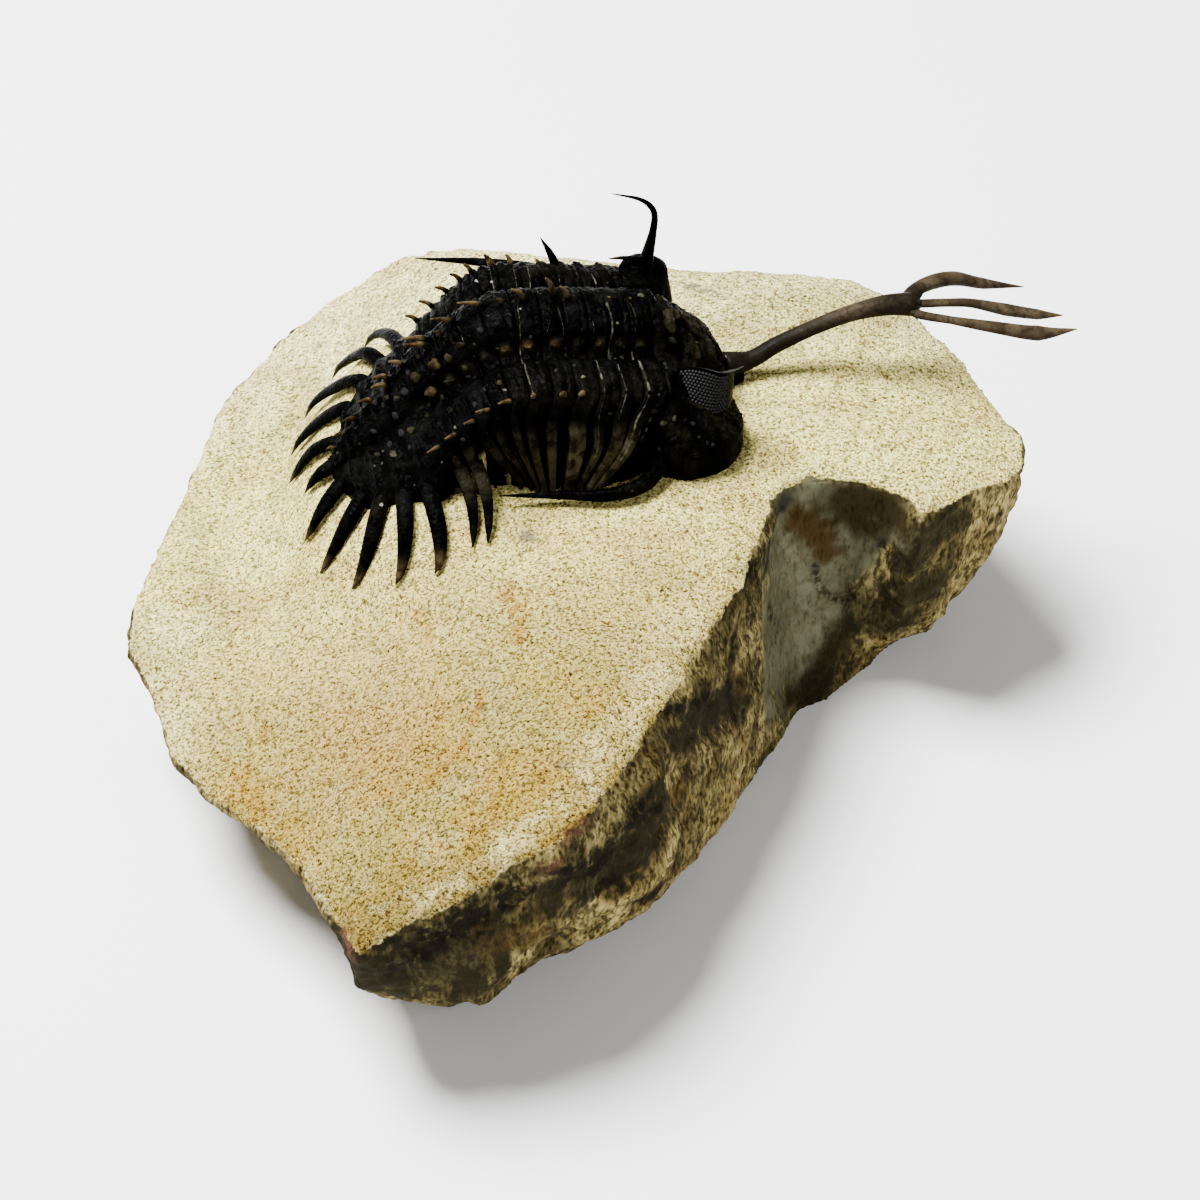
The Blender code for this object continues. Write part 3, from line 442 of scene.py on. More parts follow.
def make_patches_group():
    """Soft-edged patches: a noise cut between two levels."""
    tree, given, out = new_group("patches", [("Place", "Vector", None), ("Scale", "Float", 1.0),
                                             ("From", "Float", 0.45), ("To", "Float", 0.6),
                                             ("Warp", "Float", 0.0)], [("Mask", "Float")])
    cloud = node(tree, "TexNoise", {"Vector": given["Place"], "Scale": given["Scale"], "Detail": 5.0,
                                    "Roughness": 0.6, "Distortion": given["Warp"]})
    cut = node(tree, "MapRange", {"Value": cloud.outputs["Fac"], "From Min": given["From"],
                                  "From Max": given["To"]}, interpolation_type="SMOOTHSTEP")
    tree.links.new(cut.outputs["Result"], out["Mask"])
    return tree


def make_specks_group():
    """Small separate grains: cells of which only some are filled."""
    tree, given, out = new_group("specks", [("Place", "Vector", None), ("Scale", "Float", 1.0),
                                            ("Share", "Float", 0.3), ("Size", "Float", 0.35)],
                                 [("Mask", "Float"), ("Tone", "Float")])
    wobble = node(tree, "TexNoise", {"Vector": given["Place"], "Scale": calc(tree, "MULTIPLY",
                  given["Scale"], 2.3), "Detail": 2.0})
    moved = node(tree, "VectorMath", {0: wobble.outputs["Color"], 1: (0.0003, 0.0003, 0.0003)},
                 operation="MULTIPLY")
    place = node(tree, "VectorMath", {0: given["Place"], 1: moved.outputs[0]}, operation="ADD")
    cells = node(tree, "TexVoronoi", {"Vector": place.outputs[0], "Scale": given["Scale"]})
    apart = node(tree, "SeparateColor", {"Color": cells.outputs["Color"]})
    chosen = calc(tree, "LESS_THAN", apart.outputs[0], given["Share"])
    near = node(tree, "MapRange", {"Value": cells.outputs["Distance"], "From Min": given["Size"],
                                   "From Max": 0.08}, interpolation_type="SMOOTHSTEP")
    tree.links.new(calc(tree, "MULTIPLY", chosen, near.outputs["Result"]), out["Mask"])
    tree.links.new(apart.outputs[1], out["Tone"])
    return tree


def make_grain_group():
    """The height of a rough grained surface: coarse and fine noise with small pits."""
    tree, given, out = new_group("grain", [("Place", "Vector", None), ("Scale", "Float", 1.0),
                                           ("Pits", "Float", 0.4)], [("Height", "Float")])
    coarse = node(tree, "TexNoise", {"Vector": given["Place"], "Scale": given["Scale"], "Detail": 6.0,
                                     "Roughness": 0.62})
    cells = node(tree, "TexVoronoi", {"Vector": given["Place"],
                                      "Scale": calc(tree, "MULTIPLY", given["Scale"], 1.7)})
    pits = calc(tree, "MULTIPLY", cells.outputs["Distance"], given["Pits"])
    tree.links.new(calc(tree, "ADD", coarse.outputs["Fac"], pits), out["Height"])
    return tree


PATCHES = make_patches_group()
SPECKS = make_specks_group()
GRAIN = make_grain_group()


def start_material(name):
    material = bpy.data.materials.new(name)
    material.use_nodes = True
    tree = material.node_tree
    shader = tree.nodes["Principled BSDF"]
    place = node(tree, "TexCoord").outputs["Object"]
    return material, tree, shader, place


def patches(tree, place, scale, low, high, warp=0.0):
    return use_group(tree, PATCHES, {"Place": place, "Scale": scale, "From": low, "To": high,
                                     "Warp": warp})["Mask"]


def specks(tree, place, scale, share, size):
    return use_group(tree, SPECKS, {"Place": place, "Scale": scale, "Share": share, "Size": size})["Mask"]


def finish_material(tree, shader, colour, roughness, height, strength, distance):
    tree.links.new(colour, shader.inputs["Base Color"])
    tree.links.new(roughness, shader.inputs["Roughness"])
    bump = node(tree, "Bump", {"Height": height, "Strength": strength, "Distance": distance})
    tree.links.new(bump.outputs["Normal"], shader.inputs["Normal"])


def tint(tree, colour, target, *shares):
    """Mixes a target into a colour by the product of the shares, which are masks or numbers."""
    share = shares[0]
    for other in shares[1:]:
        share = calc(tree, "MULTIPLY", share, other)
    return blend(tree, share, colour, target)


def shade(tree, colour, value, stops):
    """Darkens a colour by a ramp over a value."""
    return blend(tree, 1.0, colour, ramp(tree, value, stops), "MULTIPLY")


def cover(tree, place, colour, layers):
    """Lays colours over one another: each one's strength, and its painted mask and patches, if any."""
    for target, strength, mask, spread in layers:
        shares = [strength]
        if mask:
            shares.append(painted(tree, mask))
        if spread:
            shares.append(patches(tree, place, *spread))
        colour = tint(tree, colour, target, *shares)
    return colour


def prepared_top(tree, place, fine, rough_grain):
    """Pale grains over brown gaps, warmer in front, whiter behind and to the left."""
    colour = cover(tree, place, (1.0, 0.91, 0.345), [
        ((0.385, 0.265, 0.048), 1.0, "ochre", None),
        ((0.235, 0.162, 0.037), 1.0, "corner", None),
        ((1.0, 0.95, 0.46), 1.0, "pale", None),
        ((0.40, 0.36, 0.13), 0.6, None, (70, 0.42, 0.66, 0.6)),
        ((0.54, 0.37, 0.125), 0.45, None, (160, 0.48, 0.64, 0.5)),
        ((0.42, 0.40, 0.20), 0.35, None, (260, 0.50, 0.62, 1.0)),
    ])
    broken_up = calc(tree, "MULTIPLY_ADD", patches(tree, place, 330, 0.40, 0.62, 0.8), 0.4, 0.12)
    colour = tint(tree, colour, (0.95, 0.86, 0.42), painted(tree, "fringe"), broken_up)
    colour = cover(tree, place, colour, [
        ((0.80, 0.70, 0.38), 0.8, "rim", (1100, 0.44, 0.56, 0.5)),
        ((0.45, 0.26, 0.105), 0.4, "pink", None),
        ((0.38, 0.205, 0.032), 0.75, "rust", (900, 0.32, 0.55)),
    ])
    colour = shade(tree, colour, fine, [(0.44, (0.07, 0.055, 0.03)), (0.55, (0.36, 0.32, 0.22)),
                                        (0.63, (0.84, 0.82, 0.74)), (0.72, (1.0, 1.0, 1.0))])
    colour = shade(tree, colour, rough_grain, [(0.45, (0.38, 0.34, 0.25)), (0.56, (0.80, 0.78, 0.70)),
                                               (0.65, (1.0, 1.0, 1.0))])
    colour = tint(tree, colour, (0.10, 0.075, 0.03), specks(tree, place, 1250, 0.14, 0.40), 0.6)
    colour = tint(tree, colour, (0.075, 0.055, 0.02), specks(tree, place, 430, 0.10, 0.30),
                  patches(tree, place, 1500, 0.42, 0.55), 0.75)
    return cover(tree, place, colour, [((0.085, 0.088, 0.062), 0.75, "smudge", (520, 0.42, 0.58, 1.2))])


def broken_side(tree, place, streaked, rough_grain):
    """Olive brown, streaked and peppered with black stain, with painted shade on the shadowed sides."""
    colour = cover(tree, place, (0.11, 0.086, 0.029), [
        ((0.43, 0.345, 0.130), 1.0, None, (120, 0.40, 0.62, 0.4)),
        ((0.17, 0.09, 0.018), 0.5, None, (75, 0.52, 0.62, 0.8)),
    ])
    colour = shade(tree, colour, rough_grain, [(0.46, (0.09, 0.08, 0.06)), (0.56, (0.34, 0.32, 0.27)),
                                               (0.64, (0.75, 0.73, 0.68)), (0.75, (1.0, 1.0, 1.0))])
    colour = cover(tree, streaked, colour, [((0.020, 0.017, 0.010), 0.7, None, (750, 0.50, 0.60, 1.6))])
    # Painted shade, kept where the sides fall in shadow: it thickens the black mottle and darkens the colour.
    gloom = painted(tree, "gloom")
    colour = tint(tree, colour, (0.010, 0.0085, 0.0045), patches(tree, streaked, 300, 0.46, 0.55, 1.0),
                  calc(tree, "MULTIPLY_ADD", gloom, 0.6, 0.35))
    colour = tint(tree, colour, (0.017, 0.0140, 0.0064), gloom, 0.88)
    broken_up = calc(tree, "MULTIPLY_ADD", patches(tree, place, 420, 0.42, 0.56, 0.9), 0.58, 0.40)
    colour = tint(tree, colour, (0.0075, 0.0063, 0.0036), painted(tree, "stain"), broken_up)
    return cover(tree, place, colour, [((0.085, 0.050, 0.014), 0.45, "orange", (500, 0.42, 0.60))])


def scoop_surface(tree, place, rough_grain):
    """Grey green, with rust and umber, and dark stain with painted shade along its edges."""
    colour = cover(tree, place, (0.062, 0.060, 0.032), [
        ((0.135, 0.134, 0.080), 1.0, None, (150, 0.36, 0.66, 0.5)),
        ((0.085, 0.066, 0.030), 0.5, None, (420, 0.5, 0.62, 1.0)),
        # Dark stain, with painted shade where the scoop's edges fall in shadow.
        ((0.024, 0.024, 0.016), 0.9, "scoop_dark", (380, 0.34, 0.54, 1.0)),
        ((0.040, 0.0235, 0.0060), 0.95, "scoop_rust", None),
        ((0.023, 0.0165, 0.0055), 0.95, "scoop_umber", None),
    ])
    colour = tint(tree, colour, (0.03, 0.028, 0.018), specks(tree, place, 1700, 0.3, 0.4), 0.35)
    return shade(tree, colour, rough_grain, [(0.45, (0.55, 0.52, 0.46)), (0.60, (0.92, 0.91, 0.89)),
                                             (0.70, (1.0, 1.0, 1.0))])


def make_limestone():
    material, tree, shader, place = start_material("limestone")
    shader.inputs["Specular IOR Level"].default_value = 0.02
    fine = use_group(tree, GRAIN, {"Place": place, "Scale": 2900.0, "Pits": 0.25})["Height"]
    streaked = node(tree, "VectorMath", {0: place, 1: (1.0, 1.0, 0.4)}, operation="MULTIPLY").outputs[0]
    rough_grain = use_group(tree, GRAIN, {"Place": streaked, "Scale": 1500.0, "Pits": 0.25})["Height"]
    top = prepared_top(tree, place, fine, rough_grain)
    side = broken_side(tree, place, streaked, rough_grain)
    scooped = painted(tree, "scoop")
    side = tint(tree, side, scoop_surface(tree, place, rough_grain), scooped)
    side = cover(tree, place, side, [((0.012, 0.0115, 0.0075), 0.92, "crack", (1300, 0.40, 0.54, 0.8))])
    loose = calc(tree, "SUBTRACT", patches(tree, place, 800, 0.3, 0.7), 0.5)
    edge = node(tree, "MapRange", {"Value": calc(tree, "MULTIPLY_ADD", loose, 0.7, painted(tree, "worked")),
                                   "From Min": 0.35, "From Max": 0.65}).outputs["Result"]
    colour = cover(tree, place, blend(tree, edge, side, top),
                   [((0.085, 0.036, 0.020), 0.8, "redbrown", (900, 0.4, 0.55))])
    rough = ramp(tree, patches(tree, place, 300, 0.3, 0.7), [(0.0, 0.8), (1.0, 0.95)])
    relief = calc(tree, "MULTIPLY_ADD", scooped, -0.85, 1.0)
    height = calc(tree, "MULTIPLY", blend(tree, edge, rough_grain, fine), relief)
    finish_material(tree, shader, colour, rough, height, 1.0, 0.00055)
    return material


def make_black_shell():
    material, tree, shader, place = start_material("black_shell")
    shader.inputs["Specular IOR Level"].default_value = 0.0055

    def two_tone(dark, light, *spread):
        return blend(tree, patches(tree, place, *spread), dark, light)

    colour = cover(tree, place, (0.0003, 0.00035, 0.0003), [
        ((0.0020, 0.0021, 0.0019), 1.0, None, (420, 0.46, 0.68, 0.4)),
        ((0.0048, 0.0037, 0.0020), 0.45, None, (190, 0.58, 0.72, 0.6)),
        ((0.010, 0.010, 0.0085), 0.6, None, (900, 0.63, 0.72, 0.4)),
        ((0.021, 0.022, 0.0215), 1.0, "grey", None),
        (two_tone((0.0075, 0.0056, 0.0028), (0.052, 0.0435, 0.0215), 600, 0.38, 0.62, 0.5), 0.9, "brown",
         None),
        (two_tone((0.014, 0.0080, 0.0032), (0.058, 0.040, 0.0175), 900, 0.4, 0.6), 1.0, "tan", None),
    ])
    frayed = calc(tree, "MULTIPLY_ADD", patches(tree, place, 1400, 0.3, 0.7), 0.12, painted(tree, "vein"))
    vein = node(tree, "MapRange", {"Value": frayed, "From Min": 0.96, "From Max": 1.04})
    colour = tint(tree, colour, two_tone((0.012, 0.011, 0.007), (0.070, 0.065, 0.042), 300, 0.4, 0.6),
                  vein.outputs["Result"])
    # Grey and pale specks: adhering dust; the pale ones are also painted glints.
    colour = tint(tree, colour, (0.050, 0.048, 0.038), specks(tree, place, 1150, 0.04, 0.26), 0.5)
    colour = tint(tree, colour, (0.22, 0.21, 0.17), specks(tree, place, 620, 0.03, 0.15), 0.8)
    colour = tint(tree, colour, two_tone((0.20, 0.16, 0.07), (0.62, 0.54, 0.26), 900, 0.4, 0.6),
                  painted(tree, "matrix"))
    rough = ramp(tree, patches(tree, place, 800, 0.35, 0.65), [(0.0, 0.22), (1.0, 0.42)])
    height = use_group(tree, GRAIN, {"Place": place, "Scale": 1300.0, "Pits": 0.6})["Height"]
    finish_material(tree, shader, colour, rough, height, 0.7, 0.0002)
    return material


def make_brown_shell():
    material, tree, shader, place = start_material("brown_shell")
    shader.inputs["Specular IOR Level"].default_value = 0.03
    colour = cover(tree, place, (0.020, 0.0135, 0.0070), [
        ((0.050, 0.037, 0.0200), 1.0, None, (420, 0.36, 0.70, 0.5)),
        ((0.007, 0.005, 0.0035), 0.6, None, (700, 0.5, 0.62, 0.6)),
        # Dark: the shaft's darker base, and painted shade at the fork's thick end and the tines' roots.
        ((0.0032, 0.0021, 0.0013), 0.92, "dark", None),
        ((0.070, 0.043, 0.012), 1.0, "tan", None),
    ])
    colour = tint(tree, colour, (0.40, 0.36, 0.30), specks(tree, place, 600, 0.03, 0.22))
    rough = ramp(tree, patches(tree, place, 900, 0.35, 0.65), [(0.0, 0.38), (1.0, 0.6)])
    height = use_group(tree, GRAIN, {"Place": place, "Scale": 1500.0, "Pits": 0.4})["Height"]
    finish_material(tree, shader, colour, rough, height, 0.6, 0.00015)
    return material


LIMESTONE = make_limestone()
BLACK_SHELL = make_black_shell()
BROWN_SHELL = make_brown_shell()


# Working the pieces

def take(*pieces):
    """Selects just these pieces; the first is the one worked on."""
    bpy.ops.object.select_all(action="DESELECT")
    for piece in pieces:
        piece.select_set(True)
    bpy.context.view_layer.objects.active = pieces[0]


def paint(piece, name, values):
    """Keeps a mask on the piece's points, for its material."""
    layer = piece.data.attributes.get(name) or piece.data.attributes.new(name, "FLOAT", "POINT")
    layer.data.foreach_set("value", values)


def lay_grid(name, rows):
    """A grid with its points laid on rows of places, facing up."""
    bpy.ops.mesh.primitive_grid_add(x_subdivisions=len(rows[0]) - 1, y_subdivisions=len(rows) - 1, size=1)
    piece = bpy.context.object
    piece.name = name
    piece.data.vertices.foreach_set("co", [c for row in rows for p in row for c in p])
    piece.data.update()
    if sum(polygon.normal.z for polygon in piece.data.polygons) < 0:
        piece.data.flip_normals()
    return piece


def raise_relief(piece, heights):
    """Moves each point out along the surface by its height."""
    normals = [v.normal.copy() for v in piece.data.vertices]
    for vertex, normal, height in zip(piece.data.vertices, normals, heights):
        vertex.co += normal * height
    piece.data.update()


def face_out(piece):
    """Merges doubled points and turns the faces outwards."""
    take(piece)
    bpy.ops.object.mode_set(mode="EDIT")
    bpy.ops.mesh.select_all(action="SELECT")
    bpy.ops.mesh.remove_doubles(threshold=MERGE_DISTANCE)
    bpy.ops.mesh.normals_make_consistent(inside=False)
    bpy.ops.object.mode_set(mode="OBJECT")


def close_down(piece):
    """Draws the sheet down into the stone, so that it is a closed body."""
    take(piece)
    bpy.ops.object.mode_set(mode="EDIT")
    bpy.ops.mesh.select_all(action="SELECT")
    bpy.ops.mesh.extrude_region_move()
    bpy.ops.object.mode_set(mode="OBJECT")
    for vertex in piece.data.vertices:
        if vertex.select:
            vertex.co.z = min(ground(vertex.co.x, vertex.co.y) - 0.4, vertex.co.z - 0.3)
    face_out(piece)


def grow(path, widths, depth=1.0, tip_from=2.0, steps=5, sides=3):
    """A tapering spine along a path: a curve given width, flattened to depth, with closed ends.

    Its tan mask rises from tip_from (a share of the length) to the tip.
    """
    line = bpy.data.curves.new("spine", "CURVE")
    line.dimensions = "3D"
    line.twist_mode = "Z_UP"
    line.use_fill_caps = True
    if depth == 1.0:
        line.bevel_depth = 1.0
        line.bevel_resolution = sides - 1
    else:
        bpy.ops.curve.primitive_bezier_circle_add(radius=1.0)
        section = bpy.context.object
        section.data.resolution_u = sides
        section.data.transform(Matrix.Diagonal((1.0, depth, 1.0, 1.0)))
        line.bevel_mode = "OBJECT"
        line.bevel_object = section
    count = (len(path) - 1) * steps + 1
    spline = line.splines.new("POLY")
    spline.points.add(count - 1)
    for k, point in enumerate(spline.points):
        t = k / steps
        point.co = (*curve_at(path, t), 1.0)
        point.radius = max(along(widths, t), 0.02)
    spine = bpy.data.objects.new("spine", line)
    bpy.context.collection.objects.link(spine)
    take(spine)
    bpy.ops.object.convert(target="MESH")
    spine = bpy.context.object
    if depth != 1.0:
        bpy.data.objects.remove(section, do_unlink=True)
    start, end = Vector(path[0]), Vector(path[-1])
    length = (end - start).length_squared
    shares = [(v.co - start).dot(end - start) / length for v in spine.data.vertices]
    paint(spine, "tan", [smooth_step((share - tip_from) / 0.25) for share in shares])
    face_out(spine)
    return spine


def nodules(name, shell):
    """The nodules of one piece, each an uneven lump pressed flat on the shell where it sits."""
    lumps = []
    for on, place, size, tone in NODULES:
        if on != name:
            continue
        foot = min(shell.data.vertices, key=lambda v: (v.co - Vector(place)).length_squared)
        bpy.ops.mesh.primitive_ico_sphere_add(subdivisions=2, radius=size)
        lump = bpy.context.object
        for vertex in lump.data.vertices:
            vertex.co *= 1.1 + 0.6 * noise.noise(vertex.co / size * 0.9 + Vector(place))
        turn = foot.normal.to_track_quat("Z", "Y").to_matrix().to_4x4()
        lump.data.transform(Matrix.Translation(foot.co) @ turn @ Matrix.Diagonal((1.15, 0.9, 0.45, 1.0)))
        mask, value = {"olive": ("brown", 0.35), "tan": ("tan", 0.45), "pale": ("vein", 1.0),
                       "grey": ("grey", 0.35)}[tone]
        paint(lump, mask, [value] * len(lump.data.vertices))
        lumps.append(lump)
    return lumps


def finish_piece(name, parts, material, slot, *nodes, angle=None):
    """Joins the parts into one piece, in metres, with its finish, on the model's body."""
    take(*parts)
    if len(parts) > 1:
        bpy.ops.object.join()
    piece = bpy.context.object
    piece.name = name
    piece.data.name = name
    piece.data.transform(Matrix.Scale(MM, 4))
    piece.data.materials.clear()
    piece.data.materials.append(material)
    take(piece)
    if angle:
        bpy.ops.object.shade_smooth_by_angle(angle=math.radians(angle))
    else:
        bpy.ops.object.shade_smooth()
    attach(piece, "root")
    if nodes:
        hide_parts(*nodes)
    return piece


# Camera, light and floor

def set_up_studio():
    camera_data = bpy.data.cameras.new("camera")
    camera_data.lens = 90.0
    camera_data.sensor_width = 36.0
    camera_data.clip_start = 0.01
    camera = bpy.data.objects.new("camera", camera_data)
    camera.location = (0.0, -0.2121320, 0.2421320)
    camera.rotation_euler = (math.radians(45.0), 0.0, 0.0)
    bpy.context.scene.collection.objects.link(camera)
    bpy.context.scene.camera = camera
    lamps = [("key", (-0.22, 0.14, 0.55), 0.30, 20.5), ("fill", (0.40, -0.40, 0.45), 0.30, 2.0)]
    for name, place, size, power in lamps:
        data = bpy.data.lights.new(name, "AREA")
        data.shape = "DISK"
        data.size = size
        data.energy = power
        lamp = bpy.data.objects.new(name, data)
        lamp.location = place
        lamp.rotation_euler = (Vector((0, 0.01, 0.02)) - Vector(place)).to_track_quat("-Z", "Y").to_euler()
        bpy.context.scene.collection.objects.link(lamp)
    world = bpy.data.worlds.new("studio")
    bpy.context.scene.world = world
    world.use_nodes = True
    background = world.node_tree.nodes["Background"]
    background.inputs["Color"].default_value = (1.0, 0.985, 0.96, 1.0)
    background.inputs["Strength"].default_value = 0.27
    bpy.ops.mesh.primitive_plane_add(size=3.0)
    floor = bpy.context.object
    floor.name = "floor"
    material, tree, shader, place = start_material("pale_floor")
    colour = blend(tree, patches(tree, place, 8, 0.3, 0.7), (0.93, 0.93, 0.93), (0.94, 0.94, 0.94))
    rough = ramp(tree, patches(tree, place, 60, 0.3, 0.7), [(0.0, 0.7), (1.0, 0.8)])
    finish_material(tree, shader, colour, rough, patches(tree, place, 900, 0.2, 0.8), 0.05, 0.0002)
    floor.data.materials.append(material)


# The stone

# Stains, cracks, tones and painted shade of the stone: mask, half width, and the places they run through, as
# x and y on the prepared top or as x, y and z on the sides.
MARKS = [
    ("rust", 1.0, [(-9.6, 2.5), (-8.5, 0.3), (-7.8, -2.3), (-8.3, -4.4)]),
    ("rust", 0.7, [(-18.6, 3.5), (-17.8, 1.1), (-17.3, -1.1)]),
    ("rust", 0.6, [(-11.6, -10.5), (-12.1, -13.6), (-13.3, -16.7), (-14.9, -19.0), (-16.4, -20.3)]),
    ("rust", 0.7, [(-22.3, -19.8), (-20.8, -20.2), (-19.1, -20.6)]),
    ("rust", 1.0, [(-36.4, -10.9), (-35.3, -13.9), (-34.0, -17.1)]),
    ("rust", 0.7, [(-34.0, -6.8), (-33.5, -6.0)]),
    ("smudge", 0.8, [(5.1, 51.9), (10.1, 50.9), (13.2, 48.7)]),
    ("smudge", 1.2, [(-8.2, 9.0), (-7.2, 9.6)]),
    ("smudge", 0.45, [(34.4, 19.5), (37.8, 19.5), (43.0, 20.5)]),
    ("smudge", 0.55, [(-3.6, -21.6), (-2.6, -22.6), (-2.3, -23.6)]),
    ("pale", 1.0, [(23.5, 19.6), (24.3, 19.7)]), ("pale", 0.9, [(34.0, 17.6), (39.5, 18.0)]),
    ("fringe", 1.3, [(-17.5, -34.0), (-13.5, -32.8), (-9.5, -31.0)]),
    ("fringe", 1.8, [(-9.5, -30.8), (-5.0, -27.6), (-1.0, -23.0)]),
    ("fringe", 2.4, [(-1.0, -22.8), (2.5, -16.8), (5.0, -10.8)]),
    ("fringe", 2.6, [(5.0, -10.8), (7.5, -4.0), (9.5, 1.0)]),
    ("crack", 0.45, [(16.3, 4.0, 20.2), (16.3, 3.3, 17.2), (15.8, -2.1, 12.3), (15.2, -3.2, 11.2),
                     (14.8, -3.4, 7.6)]),
    ("crack", 0.5, [(23.1, 18.0, 17.2), (23.3, 17.7, 15.3), (24.0, 17.7, 13.6), (25.4, 18.0, 12.2),
                    (26.9, 17.9, 12.4)]),
    ("crack", 0.8, [(30.2, 17.7, 20.6), (31.0, 17.1, 19.6), (31.7, 16.1, 18.7)]),
    ("crack", 0.7, [(15.1, 3.7, 26.0), (15.6, 3.7, 23.1)]),
    ("crack", 0.6, [(17.8, 11.2, 17.9), (18.5, 11.9, 14.8)]),
    ("crack", 0.35, [(19.3, 13.4, 13.5), (18.7, 11.4, 12.5)]),
    ("crack", 0.4, [(19.2, 17.1, 26.9), (17.9, 13.6, 26.0), (17.3, 11.1, 24.0), (16.3, 6.1, 23.9)]),
    ("stain", 3.2, [(-19.4, -35.8, 16.9), (-16.9, -35.5, 19.6), (-13.5, -35.4, 22.0),
                    (-10.8, -33.8, 22.5)]),
    ("stain", 2.8, [(-10.8, -33.8, 22.5), (-6.6, -31.7, 23.6), (-2.8, -29.9, 23.1), (0.0, -26.9, 21.0)]),
    ("stain", 1.8, [(0.0, -26.8, 18.7), (2.4, -25.5, 17.7)]),
    ("stain", 1.6, [(1.4, -25.8, 23.6), (3.8, -22.1, 23.6), (6.0, -19.0, 22.4)]),
    ("stain", 0.8, [(6.5, -13.2, 27.8), (8.9, -10.2, 25.9), (11.5, -5.7, 22.2)]),
    ("stain", 0.9, [(13.7, 0.1, 24.2), (13.0, -2.9, 21.5), (13.8, -4.2, 16.9)]),
    ("stain", 1.5, [(10.0, 0.6, 29.4), (14.7, 4.6, 29.0), (17.7, 12.7, 24.7)]),
    ("stain", 1.5, [(3.9, -23.9, 12.0), (6.0, -20.1, 9.0)]),
    # Painted shade: the undercut sides under the front edge and the right side round the scoop, where shade
    # falls.
    ("gloom", 4.0, [(28.3, 17.8, 10.7), (25.2, 16.9, 6.9), (22.0, 13.7, 2.3)]),
    ("gloom", 3.0, [(32.2, 15.1, 20.9), (34.1, 14.9, 24.0), (36.9, 17.7, 24.3)]),
    ("gloom", 3.4, [(35.4, 16.5, 15.0), (32.2, 15.7, 14.3), (30.6, 17.9, 9.0)]),
    ("gloom", 8.0, [(-22.0, -36.0, 15.0), (-10.8, -33.8, 17.0), (-4.0, -30.0, 18.0)]),
    ("gloom", 3.6, [(-4.0, -30.0, 20.5), (2.0, -26.0, 20.0), (7.0, -18.0, 21.5)]),
    ("gloom", 2.4, [(7.5, -13.0, 24.0), (11.0, -6.0, 21.0), (13.5, -2.0, 18.0)]),
    ("orange", 1.5, [(-11.3, -34.9, 19.4), (-8.6, -33.0, 16.9), (-5.8, -30.9, 15.3)]),
    ("orange", 1.2, [(13.7, -1.1, 21.7), (14.3, -1.8, 18.8)]),
    ("redbrown", 0.9, [(-5.2, -31.2, 25.7), (-3.8, -30.5, 25.7)]),
    ("redbrown", 0.9, [(-3.3, -29.1, 27.9), (-1.4, -27.3, 27.3)]),
    ("redbrown", 0.7, [(-24.3, -33.7, 19.6), (-23.3, -36.6, 18.8)]),
    # Dark stain along the scoop's edges and cracks, with painted shade where its left and upper edges fall in
    # shadow.
    ("scoop_dark", 1.7, [(15.6, 3.7, 25.0), (16.3, 4.0, 20.2), (16.0, 0.5, 15.0), (15.2, -3.2, 11.2)]),
    ("scoop_dark", 1.5, [(30.2, 17.7, 20.6), (31.0, 17.1, 19.6), (31.7, 16.1, 18.7)]),
    ("scoop_dark", 1.3, [(19.2, 17.1, 27.2), (17.9, 13.6, 26.5), (17.3, 11.1, 24.5)]),
    ("scoop_umber", 3.4, [(26.4, 19.1, 25.8), (29.4, 18.3, 26.8), (31.5, 16.5, 25.6)]),
    ("scoop_umber", 2.0, [(28.7, 18.4, 22.6), (26.5, 19.1, 23.6)]),
    ("scoop_rust", 2.1, [(21.1, 17.9, 24.3), (23.4, 18.5, 21.2), (24.1, 18.5, 19.1)]),
]
MASKS = ("worked", "scoop", "gloom", "stain", "ochre", "corner", "pale", "pink", "rust", "smudge", "crack",
         "orange", "redbrown", "scoop_rust", "scoop_umber", "scoop_dark", "rim", "fringe")
# The remesh's voxels, the stone's most triangles, and how far its points stay inside its box.
STONE_VOXEL = 0.5
STONE_TRIANGLES = 190000
BOX_MARGIN = 0.02


